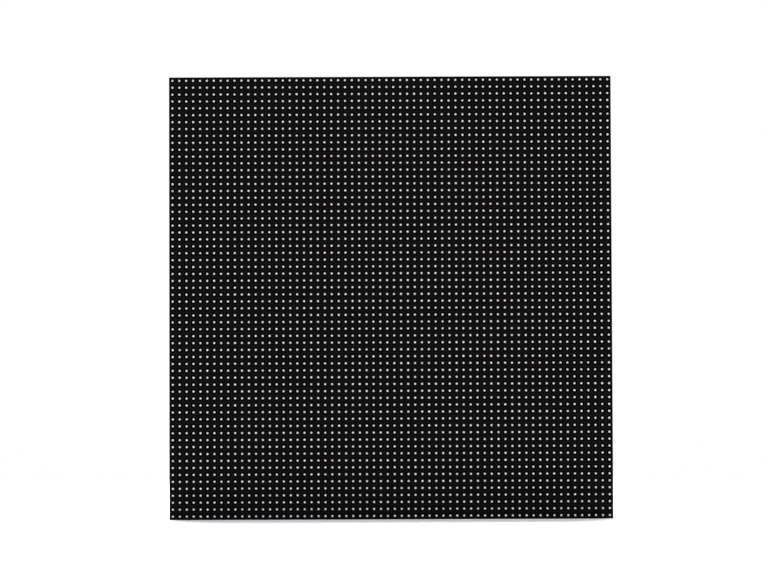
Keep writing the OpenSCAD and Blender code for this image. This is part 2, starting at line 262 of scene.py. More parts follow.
def loft(rings: Array, ends: Ends = Ends.CAPPED) -> Surface:
    """Skin a stack of closed rings with quads, each ring joined to the next.

    Args:
        rings: Array of (ring, corner, 3), corners anticlockwise seen from the last ring.
        ends: What closes the stack.

    Returns:
        The skinned surface.
    """
    count, corners = rings.shape[:2]
    index = np.arange(count * corners).reshape(count, corners)
    stack = np.concatenate([index, index[:1]]) if ends is Ends.LOOPED else index
    after = np.roll(stack, -1, axis=1)
    quads = np.stack([stack[:-1], after[:-1], after[1:], stack[1:]], axis=-1).reshape(-1, 4)
    caps = {
        Ends.CAPPED: [np.stack([index[0][::-1], index[-1]])],
        Ends.FOOT: [index[0][::-1][None]],
        Ends.LOOPED: [],
    }
    return Surface(rings.reshape(-1, 3), [quads, *caps[ends]])


def circle_ring(radius: float, height: float, corners: int) -> Array:
    """Ring of points at equal angles on a circle about the w axis, anticlockwise from the right."""
    angle = np.arange(corners) * 2 * np.pi / corners
    return np.stack([radius * np.cos(angle), radius * np.sin(angle), np.full(corners, height)], axis=-1)


def box_ring(width: float, depth: float, height: float) -> Array:
    """Ring of the four corners of a rectangle at one height, anticlockwise from the upper right."""
    signs = np.array([(1, 1), (-1, 1), (-1, -1), (1, -1)], dtype=float)
    return np.column_stack([signs * (width / 2, depth / 2), np.full(4, height)])


def cut_corner_ring(width: float, depth: float, corner: float, height: float) -> Array:
    """Ring of the eight corners of a rectangle with its corners cut off, at one height.

    Args:
        width: Full width along u.
        depth: Full depth along v.
        corner: How far along each side a cut reaches.
        height: Height of the ring.

    Returns:
        Array of eight points, anticlockwise from the lower end of the right side.
    """
    a, b = width / 2, depth / 2
    corners = [
        (a, -b + corner), (a, b - corner), (a - corner, b), (-a + corner, b),
        (-a, b - corner), (-a, -b + corner), (-a + corner, -b), (a - corner, -b),
    ]
    return np.array([(u, v, height) for u, v in corners])


def lathe(profile: Sequence[tuple[float, float]], corners: int) -> Surface:
    """Turn a profile about the w axis: one ring of points for each (radius, height) pair."""
    return loft(np.stack([circle_ring(radius, height, corners) for radius, height in profile]))


def disc(diameter: float, height: float, corners: int) -> Surface:
    """Plain round block that stands on the work plane."""
    return lathe([(diameter / 2, 0.0), (diameter / 2, height)], corners)


def block(width: float, depth: float, levels: Sequence[tuple[float, float]], corner: float = 0.0) -> Surface:
    """Stack rectangles into a moulded block.

    Args:
        width: Full width along u.
        depth: Full depth along v.
        levels: Pairs of (height, how far the outline is drawn in at that height).
        corner: Size of the cut at each upright edge. With 0 the edges stay whole.

    Returns:
        The closed block.
    """
    sizes = [(width - 2 * inset, depth - 2 * inset, height) for height, inset in levels]
    if corner:
        return loft(np.stack([cut_corner_ring(w, d, corner, h) for w, d, h in sizes]))
    return loft(np.stack([box_ring(w, d, h) for w, d, h in sizes]))


def slab(width: float, depth: float, height: float) -> Surface:
    """Plain block that stands on the work plane."""
    return block(width, depth, [(0.0, 0.0), (height, 0.0)])


def chamfered(width: float, depth: float, height: float, edge: float, corner: float) -> Surface:
    """Block that stands on the work plane, with a slope along its top edge and cut upright edges."""
    return block(width, depth, [(0.0, 0.0), (height - edge, 0.0), (height, edge)], corner)


def strap(path: Array, width: float, thickness: float) -> Surface:
    """Carry a flat rectangular section along a path in the v-w plane.

    Each ring is the path's point moved half the thickness along the path's normal, both ways, and half
    the width along u, both ways.

    Args:
        path: Points (v, w) from one end to the other.
        width: Width of the section along u.
        thickness: Thickness of the section across the path.

    Returns:
        The closed strap.
    """
    step = np.gradient(path, axis=0)
    step /= np.linalg.norm(step, axis=1, keepdims=True)
    normal = np.stack([-step[:, 1], step[:, 0]], axis=1) * thickness / 2
    upper, lower = path + normal, path - normal
    side = np.full(len(path), width / 2)
    corners = [(-side, lower), (-side, upper), (side, upper), (side, lower)]
    return loft(np.stack([np.column_stack(pair) for pair in corners], axis=1))


def outline(outer: Array, inner: Array, height: float) -> Surface:
    """Raise a line between an outer and an inner ring on the work plane, to one height."""
    lift = np.array([0.0, 0.0, height])
    return loft(np.stack([outer, outer + lift, inner + lift, inner]), Ends.LOOPED)


def plate_round_hole(corner: Array, ring: Array) -> Array:
    """Triangles of a flat plate between its four corners and the ring of a round hole in it.

    Each point of the ring and the next make a triangle with the corner of their quarter, and each side
    of the plate makes one with the ring's point that faces it.

    Args:
        corner: Indices (..., 4) of the corners, anticlockwise from the upper right.
        ring: Indices (..., n) of the ring, anticlockwise from the right, n a multiple of four.

    Returns:
        Array of triangles that face the viewer.
    """
    count = ring.shape[-1]
    quarter = np.arange(count) * 4 // count
    sectors = np.stack([corner[..., quarter], np.roll(ring, -1, axis=-1), ring], axis=-1)
    facing = np.roll(ring[..., ::count // 4], -1, axis=-1)
    sides = np.stack([corner, np.roll(corner, -1, axis=-1), facing], axis=-1)
    return np.concatenate([sectors.reshape(-1, 3), sides.reshape(-1, 3)])


def hole_walls(rings: Array) -> Array:
    """Quads of round walls that face into their hole.

    Args:
        rings: Indices (..., ring, corner) of rings that rise along w.

    Returns:
        Array of quads.
    """
    after = np.roll(rings, -1, axis=-1)
    low, high = rings[..., :-1, :], rings[..., 1:, :]
    return np.stack([after[..., :-1, :], low, high, after[..., 1:, :]], axis=-1).reshape(-1, 4)


def span(lower: Array, upper: Array) -> Array:
    """Quads between two lines (..., point) of points that run side by side, the upper one further along v."""
    corners = [lower[..., :-1], lower[..., 1:], upper[..., 1:], upper[..., :-1]]
    return np.stack(corners, axis=-1).reshape(-1, 4)


def cell_corners(bottom: Array, top: Array) -> Array:
    """Corners of the cells between two sets of lines (line, point), anticlockwise from the upper right."""
    return np.stack([top[:, 1:], top[:, :-1], bottom[:, :-1], bottom[:, 1:]], axis=-1)


# Places on the work plane


def back_places(names: Sequence[str]) -> Array:
    """Return the middles of some solids on the back's work plane, at the height of the board."""
    middle = np.array([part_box(name) for name in names]).mean(axis=1)
    return np.column_stack([-middle[:, 0], middle[:, 2], np.zeros(len(middle))])


def grid_places(across: Sequence[float], up: Sequence[float], height: float = 0.0) -> Array:
    """Return a place at each pair of a value along u and a value along v, row by row."""
    u, v = np.meshgrid(across, up)
    return np.column_stack([u.ravel(), v.ravel(), np.full(u.size, height)])


def even_line(count: int, step: float) -> Array:
    """Return evenly spaced values about zero: each index less half the last one, times the step."""
    return (np.arange(count) - (count - 1) / 2) * step


def numbered(stem: str, count: int) -> list[str]:
    """Return the names of a row of like solids, counted from 1."""
    return [f"{stem}_{i}" for i in range(1, count + 1)]


CAN_NAMES = numbered("electrolytic_can", 8)


# Meshes and pieces


def build_mesh(name: str, surface: Surface) -> bpy.types.Mesh:
    """Put a surface's arrays into a new mesh.

    Args:
        name: Name of the mesh.
        surface: Points and faces in the frame of the part.

    Returns:
        The mesh, with a UV map and a tone attribute if the surface has them.
    """
    mesh = bpy.data.meshes.new(name)
    loops = np.concatenate([f.reshape(-1) for f in surface.faces]).astype(np.int32)
    sizes = np.concatenate([np.full(len(f), f.shape[1]) for f in surface.faces]).astype(np.int32)
    mesh.vertices.add(len(surface.points))
    mesh.vertices.foreach_set("co", surface.points.astype(np.float32).reshape(-1))
    mesh.loops.add(len(loops))
    mesh.loops.foreach_set("vertex_index", loops)
    mesh.polygons.add(len(sizes))
    mesh.polygons.foreach_set("loop_start", (np.cumsum(sizes) - sizes).astype(np.int32))
    if surface.uv is not None:
        layer = mesh.uv_layers.new(name="local")
        layer.data.foreach_set("uv", surface.uv[loops].astype(np.float32).reshape(-1))
    if surface.tone is not None:
        tone = mesh.attributes.new("tone", "FLOAT", "POINT")
        tone.data.foreach_set("value", surface.tone.astype(np.float32))
    mesh.update(calc_edges=True)
    mesh.validate()
    return mesh


class Side(Enum):
    """The sides of the circuit board, each with the directions of u along X and of w along Y."""

    FRONT = (1.0, -1.0)
    BACK = (-1.0, 1.0)


@dataclass(frozen=True)
class BoardFace:
    """One face of the circuit board: its side, and its place along Y. The mounting plane lies at Y = 0."""

    side: Side
    y: float

    def place(self, surface: Surface) -> Surface:
        """Stand a surface on the face, with u to the right and v up for a viewer on its side.

        Args:
            surface: Surface in u, v and w, with w = 0 on the face.

        Returns:
            The surface in the frame of the part.
        """
        along_x, along_y = self.side.value
        u, v, w = surface.points.T
        return replace(surface, points=np.column_stack([along_x * u, self.y + along_y * w, v]))

    def add(
        self,
        name: str,
        surface: Surface,
        finish: Finishes,
        slot: str,
        replaces: Sequence[str] = (),
        smooth_deg: float | None = None,
    ) -> None:
        """Stand a new piece on the face, dress it and tie it to the frame.

        Args:
            name: Name of the piece.
            surface: Surface of the piece in u, v and w.
            finish: Finish of the whole piece.
            slot: Name of a material slot of the record. Not used.
            replaces: Solids that the piece stands for.
            smooth_deg: Edges up to this angle are shaded smooth. None keeps flat faces.
        """
        mesh = build_mesh(name, self.place(surface))
        mesh.materials.append(finish.value.material())
        if smooth_deg is not None:
            mesh.polygons.foreach_set("use_smooth", np.ones(len(mesh.polygons), dtype=bool))
            mesh.set_sharp_from_angle(angle=math.radians(smooth_deg))
        piece = add_object(name, mesh)
        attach(piece, BODY)
        if replaces:
            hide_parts(*replaces)
        mesh.calc_loop_triangles()
        LOG.info("%s: %d triangles", name, len(mesh.loop_triangles))


# Finishes

# Noise gathers round its middle, so this part of its range is stretched over a finish's whole spread
NOISE_RANGE = (0.3, 0.7)
NOISE_DETAIL = 2.0
EDGE_SAMPLES = 4
# Numbers of the colour sockets of a Mix node: its two inputs and its output
MIX_FIRST, MIX_SECOND, MIX_RESULT = 6, 7, 2


def grain_range(low: float, high: float) -> dict[str | int, Any]:
    """Return the settings of a map from the middle of the noise's range to a low and a high value."""
    return {"From Min": NOISE_RANGE[0], "From Max": NOISE_RANGE[1], "To Min": low, "To Max": high}


@dataclass(frozen=True)
class Finish:
    """A plain finish: one colour and gloss, with grain that varies both and raises the surface a little.

    The grain is noise on Object coordinates, its spacing given in millimetres. Real grit is mostly finer,
    and is drawn as coarse as it needs to be to show in a close view. An edge of some millimetres makes
    sharp corners catch the light as a small moulded round does.
    """

    name: str
    colour: str
    roughness: float
    metallic: float = 0.0
    specular: float = 0.5
    grain_mm: float = 0.3
    grain_depth_mm: float = 0.01
    gloss_spread: float = 0.1
    tone_spread: float = 0.15
    edge_mm: float = 0.0

    def material(self) -> bpy.types.Material:
        """Look the material up by its name, or make it the first time.

        Returns:
            The material of this finish.
        """
        known = bpy.data.materials.get(self.name)
        if known:
            return known
        material = bpy.data.materials.new(self.name)
        tree = empty_tree(material)
        shader = add_node(tree, "ShaderNodeBsdfPrincipled", {
            "Base Color": linear(self.colour),
            "Roughness": self.roughness,
            "Metallic": self.metallic,
            "Specular IOR Level": self.specular,
        })
        add_node(tree, "ShaderNodeOutputMaterial", links={"Surface": shader.outputs["BSDF"]})
        self.dress(tree, shader)
        return material

    def grain(self, tree: Tree) -> Socket:
        """Add noise on Object coordinates, with spots about one grain apart.

        Args:
            tree: Node tree of the material.

        Returns:
            The noise's socket, from 0 to 1.
        """
        point = add_node(tree, "ShaderNodeTexCoord").outputs["Object"]
        settings = {"Scale": 1 / (self.grain_mm * MM), "Detail": NOISE_DETAIL}
        return add_node(tree, "ShaderNodeTexNoise", settings, {"Vector": point}).outputs["Fac"]

    def shade(self, tree: Tree, factor: Socket) -> Socket:
        """Vary the finish's colour, darker and lighter by its tone spread.

        Args:
            tree: Node tree of the material.
            factor: Grain from 0 to 1.

        Returns:
            The colour's socket.
        """
        tones = grain_range(1 - self.tone_spread, 1 + self.tone_spread)
        gain = add_node(tree, "ShaderNodeMapRange", tones, {"Value": factor}).outputs["Result"]
        plain = {"operation": "SCALE", 0: linear(self.colour)[:3]}
        return add_node(tree, "ShaderNodeVectorMath", plain, {"Scale": gain}).outputs["Vector"]

    def dress(self, tree: Tree, shader: bpy.types.Node) -> None:
        """Add the grain: tone, gloss and relief.

        Args:
            tree: Node tree of the material.
            shader: Principled shader that takes the grain.
        """
        grain = self.grain(tree)
        low, high = self.roughness - self.gloss_spread, min(1.0, self.roughness + self.gloss_spread)
        gloss = add_node(tree, "ShaderNodeMapRange", grain_range(low, high), {"Value": grain})
        relief = add_node(tree, "ShaderNodeBump", {"Distance": self.grain_depth_mm * MM}, {"Height": grain})
        if self.edge_mm:
            settings = {"samples": EDGE_SAMPLES, "Radius": self.edge_mm * MM}
            rounded = add_node(tree, "ShaderNodeBevel", settings)
            tree.links.new(rounded.outputs["Normal"], relief.inputs["Normal"])
        tree.links.new(self.shade(tree, grain), shader.inputs["Base Color"])
        tree.links.new(gloss.outputs["Result"], shader.inputs["Roughness"])
        tree.links.new(relief.outputs["Normal"], shader.inputs["Normal"])


@dataclass(frozen=True)
class LampResin(Finish):
    """Milky epoxy cast into a lamp's cup: brightest over the middle, and darker towards the cup's wall by
    painted shade.
    """

    # Painted shade at the cup's wall, and the share of the radius that keeps the resin's full colour
    painted_rim_shade: str = "#6b696d"
    bright_share: float = 0.45

    def dress(self, tree: Tree, shader: bpy.types.Node) -> None:
        """Paint shade into the resin by its distance from the lamp's middle, a share in its UV, times the
        lamp's tone.

        Args:
            tree: Node tree of the material.
            shader: Principled shader of the resin.
        """
        local = add_node(tree, "ShaderNodeUVMap", {"uv_map": "local"})
        reach = add_node(tree, "ShaderNodeVectorMath", {"operation": "LENGTH"}, {0: local.outputs["UV"]})
        ramp = add_node(tree, "ShaderNodeValToRGB", links={"Fac": reach.outputs["Value"]})
        ramp.color_ramp.interpolation = "EASE"
        stops = ((self.bright_share, self.colour), (1.0, self.painted_rim_shade))
        for element, (share, colour) in zip(ramp.color_ramp.elements, stops):
            element.position = share
            element.color = linear(colour)
        tone = add_node(tree, "ShaderNodeAttribute", {"attribute_name": "tone"})
        scaled = add_node(tree, "ShaderNodeVectorMath", {"operation": "SCALE"},
                          {0: ramp.outputs["Color"], "Scale": tone.outputs["Fac"]})
        tree.links.new(scaled.outputs["Vector"], shader.inputs["Base Color"])


@dataclass(frozen=True)
class LacqueredLaminate(Finish):
    """Glass laminate with lacquer on both faces, and bare fibre where its edges and holes were cut."""

    core_colour: str = "#332c1b"
    edge_below: float = 0.5

    def shade(self, tree: Tree, factor: Socket) -> Socket:
        """Show the lacquer's colour, and the core's where the normal has little of Y, across the board.

        Args:
            tree: Node tree of the material.
            factor: Grain from 0 to 1.

        Returns:
            The colour's socket.
        """
        normal = add_node(tree, "ShaderNodeNewGeometry").outputs["Normal"]
        along = add_node(tree, "ShaderNodeSeparateXYZ", links={0: normal}).outputs["Y"]
        facing = add_node(tree, "ShaderNodeMath", {"operation": "ABSOLUTE"}, {0: along}).outputs["Value"]
        cut = add_node(tree, "ShaderNodeMath", {"operation": "LESS_THAN", 1: self.edge_below},
                       {0: facing}).outputs["Value"]
        core = {"data_type": "RGBA", MIX_SECOND: linear(self.core_colour)}
        lacquer = super().shade(tree, factor)
        mix = add_node(tree, "ShaderNodeMix", core, {0: cut, MIX_FIRST: lacquer})
        return mix.outputs[MIX_RESULT]


@dataclass(frozen=True)
class CanAluminium(Finish):
    """Drawn aluminium can, with an ink sector on its top that marks the negative terminal."""

    ink_colour: str = "#101012"
    ink_from: float = 0.45

    def dress(self, tree: Tree, shader: bpy.types.Node) -> None:
        """Ink the sector past a straight line across the top, found from the UV of the can.

        Args:
            tree: Node tree of the material.
            shader: Principled shader of the can.
        """
        local = add_node(tree, "ShaderNodeUVMap", {"uv_map": "local"})
        across = add_node(tree, "ShaderNodeSeparateXYZ", links={0: local.outputs["UV"]})
        inked = add_node(tree, "ShaderNodeMath", {"operation": "GREATER_THAN", 1: self.ink_from},
                         {0: across.outputs["X"]}).outputs["Value"]
        bare = add_node(tree, "ShaderNodeMath", {"operation": "SUBTRACT", 0: 1.0}, {1: inked})
        drawn = self.shade(tree, self.grain(tree))
        ink = {"data_type": "RGBA", MIX_SECOND: linear(self.ink_colour)}
        mix = add_node(tree, "ShaderNodeMix", ink, {0: inked, MIX_FIRST: drawn})
        tree.links.new(mix.outputs[MIX_RESULT], shader.inputs["Base Color"])
        tree.links.new(bare.outputs["Value"], shader.inputs["Metallic"])


class Finishes(Enum):
    """The finishes of the module, each named for its material and how its surface was made."""

    # Spark-eroded polycarbonate scatters nearly all light, so it stays black from every side
    MASK = Finish("moulded_black_polycarbonate", "#110f0e", 0.85, specular=0.04, grain_mm=0.25,
                  grain_depth_mm=0.02, tone_spread=0.3)
    # Cast epoxy with diffuser reads as a soft white disc, with painted shade towards its rim
    RESIN = LampResin("cast_milky_epoxy", "#e4e3e1", 0.35, specular=0.2)
    # Moulded polyphthalamide, its colour darker than the mask's as painted shade for its place deep in the
    # well
    HOUSING = Finish("moulded_black_polyphthalamide", "#030303", 0.8, specular=0.02, grain_mm=0.2,
                     grain_depth_mm=0.005)
    # Matt black ink printed over the front of the board, its colour darker than the lacquer as painted shade
    # for the wells round the lamps
    COAT = Finish("printed_matt_black_ink", "#030303", 0.9, specular=0.02, grain_mm=0.4,
                  grain_depth_mm=0.005)
    # Satin black lacquer on the faces, and a dull olive edge where the router cut the fibre
    BOARD = LacqueredLaminate("lacquered_glass_laminate", "#0a0c0b", 0.4, specular=0.12, grain_mm=0.5,
                              grain_depth_mm=0.004)
    # The same lacquer over etched copper, which shows through a little lighter and greener
    TRACK = Finish("lacquered_etched_copper", "#2d3630", 0.35, specular=0.3, grain_mm=0.5,
                   grain_depth_mm=0.004)
    # Screen-printed ink, a flat white that stands out from the lacquer
    INK = Finish("screen_printed_white_ink", "#d9d9d4", 0.7, specular=0.2, grain_mm=0.3,
                 grain_depth_mm=0.004)
    # Moulded glass-filled nylon: dull black with a faint mottle from the mould and soft bright edges
    FRAME = Finish("moulded_black_nylon", "#171718", 0.7, specular=0.08, grain_mm=0.6, grain_depth_mm=0.03,
                   edge_mm=0.4)
    # Turned brass: warm yellow, with marks of the tool that blur what it mirrors
    BRASS = Finish("turned_brass", "#c79a45", 0.3, metallic=1.0, grain_mm=0.2, grain_depth_mm=0.004)
    # Black zinc on steel: a dark metal with a soft grey gleam
    SCREW = Finish("black_zinc_plated_steel", "#3a3a3d", 0.38, metallic=1.0, grain_mm=0.2,
                   grain_depth_mm=0.004)
    # Moulded polyester: smoother than the frame, with a thin light line along its edges
    SHROUD = Finish("moulded_black_polyester", "#151516", 0.5, specular=0.45, grain_mm=0.3,
                    grain_depth_mm=0.015, edge_mm=0.15)
    # Gold flash over brass: bright and warm, paler than the bare brass
    GOLD = Finish("gold_flashed_brass", "#d8b465", 0.25, metallic=1.0, grain_mm=0.3, grain_depth_mm=0.002)
    # Moulded natural nylon: an even creamy white with rounded edges
    NYLON = Finish("moulded_natural_nylon", "#e0dccf", 0.5, grain_mm=0.5, grain_depth_mm=0.01,
                   tone_spread=0.04, edge_mm=0.2)
    # Bright tin plate: silvery, and light against the lacquer
    TIN = Finish("bright_tin_plate", "#c9cbce", 0.3, metallic=1.0, grain_mm=0.3, grain_depth_mm=0.002)
    # Transfer-moulded epoxy: matt top with fine grit, greyer than the lacquer under it
    CHIP = Finish("transfer_moulded_epoxy", "#2a2a2b", 0.6, specular=0.4, grain_mm=0.12,
                  grain_depth_mm=0.008)
    # Glaze fired on ceramic: the shiniest black on the board
    RESISTOR = Finish("fired_black_glaze", "#141416", 0.25, grain_mm=0.3, grain_depth_mm=0.003)
    # Bare fired ceramic: tan, between dull and shiny
    CERAMIC = Finish("fired_tan_ceramic", "#a98a63", 0.45, grain_mm=0.2, grain_depth_mm=0.004)
    # Drawn aluminium under a clear coat: a soft grey metal that turns bright where it mirrors a light
    CAN = CanAluminium("drawn_aluminium", "#a6a8aa", 0.45, metallic=1.0, grain_mm=0.2, tone_spread=0.06)


# Sub-assemblies


@dataclass(frozen=True)
class Lattice:
    """The square grid of lamps."""

    count: int = 64
    pitch: float = 4.0 * MM

    def line(self) -> Array:
        """Return the lamps' middles along one side."""
        return even_line(self.count, self.pitch)

    def width(self) -> float:
        """Return the distance between the middles of the first and the last lamp of a row."""
        return (self.count - 1) * self.pitch


@dataclass
class LampField:
    """The lamps: black square housings on the board, each with a white window cast into its face."""

    face: BoardFace
    lattice: Lattice
    height: float
    housing: float = 2.1 * MM
    housing_draft: float = 0.06 * MM
    edge: float = 0.06 * MM
    coat: float = 0.03 * MM
    window: float = 1.45 * MM
    crown: float = 0.03 * MM
    crown_foot: float = 0.01 * MM
    sunk: float = 0.05 * MM
    corners: int = 12
    tone_spread: float = 0.07
    seed: int = 64
    smooth_deg: float = 40.0

    def places(self) -> Array:
        """Return the lamps' middles on the work plane, row by row."""
        return grid_places(self.lattice.line(), self.lattice.line())

    def housings(self) -> Surface:
        """Make all the housings: a drafted square block whose top edge is broken by a small slope.

        Returns:
            The housings as one surface.
        """
        rim = self.housing_draft + self.edge
        levels = [(0.0, 0.0), (self.height - self.edge, self.housing_draft), (self.height, rim)]
        return block(self.housing, self.housing, levels).tiled(self.places())

    def windows(self) -> Surface:
        """Make all the windows: a ring sunk into the housing and a fan that rises to a low crown.

        The UV of a point is its place in the window as a share of the window's radius. The tone of a lamp
        varies a little about 1, as the filling of the cups does.

        Returns:
            The windows as one surface.
        """
        radius = self.window / 2
        bank = PointBank()
        low = bank.add(circle_ring(radius, self.height - self.sunk, self.corners))
        high = bank.add(circle_ring(radius, self.height + self.crown_foot, self.corners))
        middle = bank.add(np.array([[0.0, 0.0, self.height + self.crown]]))
        skirt = np.stack([low, np.roll(low, -1), np.roll(high, -1), high], axis=-1)
        fan = np.stack([high, np.roll(high, -1), np.repeat(middle, self.corners)], axis=-1)
        points = bank.points()
        window = Surface(points, [skirt, fan, low[::-1][None]], points[:, :2] / radius)
        places = self.places()
        tones = np.random.default_rng(self.seed).normal(1.0, self.tone_spread, len(places))
        furthest = 2 * self.tone_spread
        return window.tiled(places, np.clip(tones, 1 - furthest, 1 + furthest))

    def build(self, board_side: float) -> None:
        """Make the coat of ink on the board, and the housings and windows that stand on it.

        Args:
            board_side: Length of a side of the board.
        """
        # The ink shows only in the wells, and its dark colour is painted shade for them
        ink = slab(board_side, board_side, self.coat)
        self.face.add("front_ink", ink, Finishes.COAT, "board_laminate")
        self.face.add("lamp_housings", self.housings(), Finishes.HOUSING, "mask_plastic")
        self.face.add("lamp_windows", self.windows(), Finishes.RESIN, "lamp_resin", ["led_lenses"],
                      self.smooth_deg)


@dataclass
class FrontMask:
    """The moulded mask: a round window for each lamp, and a low rib between rows.

    It is made as a lower and an upper mesh that meet beside the middle rib, because one mesh of all the
    windows would be too heavy.
    """

    face: BoardFace
    lattice: Lattice
    side: float
    thickness: float = 1.6 * MM
    window: float = 3.1 * MM
    window_edge: float = 0.1 * MM
    rib: float = 0.6 * MM
    rib_rise: float = 0.3 * MM
    rib_slope: float = 0.08 * MM
    corners: int = 12

    def lines_at(self, v: Array, height: float) -> Array:
        """Return lines of cell corners along u, every pitch, with the outer two at the mask's edges.

        Args:
            v: Places of the lines along v.
            height: Height of all the lines.

        Returns:
            Array of (line, corner, 3).
        """
        u = even_line(self.lattice.count + 1, self.lattice.pitch)
        u[[0, -1]] = -self.side / 2, self.side / 2
        lines = np.zeros((len(v), len(u), 3))
        lines[..., 0] = u
        lines[..., 1] = v[:, None]
        lines[..., 2] = height
        return lines

    def row_edges(self, rows: Array) -> tuple[Array, Array]:
        """Return the lower and the upper edges of some rows, half a rib inside each row's pitch.

        Args:
            rows: Numbers of the rows, from the bottom up.

        Returns:
            Lower edges, with that of the row above them if there is one, and upper edges.
        """
        last = self.lattice.count - 1
        above = rows if rows[-1] == last else np.append(rows, rows[-1] + 1)
        reach = self.lattice.pitch / 2 - self.rib / 2
        low = self.lattice.line()[above] - reach
        high = self.lattice.line()[rows] + reach
        low = np.where(above == 0, -self.side / 2, low)
        high = np.where(rows == last, self.side / 2, high)
        return low, high

    def window_rings(self, rows: Array) -> Array:
        """Return the rings of each window: back, foot of the edge's slope, and face.

        Args:
            rows: Numbers of the rows.

        Returns:
            Array of (row, column, ring, corner, 3).
        """
        radius, slope = self.window / 2, self.window_edge
        levels = [(radius, 0.0), (radius, self.thickness - slope), (radius + slope, self.thickness)]
        rings = np.stack([circle_ring(r, height, self.corners) for r, height in levels])
        line = self.lattice.line()
        middles = grid_places(line, line[rows]).reshape(len(rows), len(line), 1, 1, 3)
        return middles + rings

    def moulding(self, rows: Array) -> Surface:
        """Make the mask over some rows, as one closed surface.

        Points are the window rings and lines of cell corners: the lower and upper edge of each row, on the
        face and on the back. A rib joins the upper face line of one row to the lower face line of the next
        over two raised lines, and a groove behind it does the same on the back, so the wall stays even.

        Args:
            rows: Numbers of the rows, from the bottom up.

        Returns:
            The closed surface on the work plane.
        """
        bank = PointBank()
        rings = bank.add(self.window_rings(rows))
        low, high = self.row_edges(rows)
        ribs = len(low) - 1
        crest = self.thickness + self.rib_rise
        face_low, face_high = (bank.add(self.lines_at(v, self.thickness)) for v in (low, high))
        back_low, back_high = (bank.add(self.lines_at(v, 0.0)) for v in (low, high))
        crest_low = bank.add(self.lines_at(high[:ribs] + self.rib_slope, crest))
        crest_high = bank.add(self.lines_at(low[1:] - self.rib_slope, crest))
        groove_low = bank.add(self.lines_at(high[:ribs] + self.rib_slope, self.rib_rise))
        groove_high = bank.add(self.lines_at(low[1:] - self.rib_slope, self.rib_rise))

        face_cells = cell_corners(face_low[:len(rows)], face_high)
        back_cells = cell_corners(back_low[:len(rows)], back_high)
        face = plate_round_hole(face_cells, rings[:, :, 2])
        back = plate_round_hole(back_cells, rings[:, :, 0])[:, ::-1]
        rib_face = [face_high[:ribs], crest_low, crest_high, face_low[1:]]
        rib_back = [back_high[:ribs], groove_low, groove_high, back_low[1:]]
        bands = [span(a, b) for a, b in zip(rib_face, rib_face[1:])]
        bands += [span(a, b)[:, ::-1] for a, b in zip(rib_back, rib_back[1:])]
        top_face, top_back = (face_high, back_high) if ribs < len(rows) else (face_low, back_low)
        bands += [span(back_low[0], face_low[0]), span(top_face[-1], top_back[-1])]
        rows_edge = [back_low[:len(rows)], face_low[:len(rows)], face_high, back_high]
        ribs_edge = [rib_back[0], *rib_face, *rib_back[:0:-1]]
        for loop in (rows_edge, ribs_edge):
            bands.append(np.stack([line[:, 0] for line in loop], axis=-1))
            bands.append(np.stack([line[:, -1] for line in loop], axis=-1)[:, ::-1])
        return Surface(bank.points(), [hole_walls(rings), face, back, *bands])

    def build(self) -> None:
        """Make both halves of the mask."""
        lower, upper = np.split(np.arange(self.lattice.count), 2)
        for name, rows in (("mask_moulding_lower", lower), ("mask_moulding_upper", upper)):
            self.face.add(name, self.moulding(rows), Finishes.MASK, "mask_plastic", ["front_mask"])


@dataclass(frozen=True)
class ChipPackage:
    """Sizes of one kind of chip, in metres, with the number of leads on each long side."""

    stem: str
    count: int
    length: float
    width: float
    ways: int
    lead_pitch: float
    lead_width: float
    turned: bool = False

    def names(self) -> list[str]:
        """Return the names of the chips of this kind."""
        return numbered(self.stem, self.count)


class Package(Enum):
    """The kinds of chip on the board."""

    DRIVER = ChipPackage("driver_chip", 24, 8.65 * MM, 3.9 * MM, 12, 0.635 * MM, 0.26 * MM)
    ROW = ChipPackage("row_chip", 8, 9.9 * MM, 3.9 * MM, 8, 1.27 * MM, 0.42 * MM, turned=True)
    BUFFER = ChipPackage("buffer_chip", 4, 6.5 * MM, 4.4 * MM, 10, 0.65 * MM, 0.26 * MM)


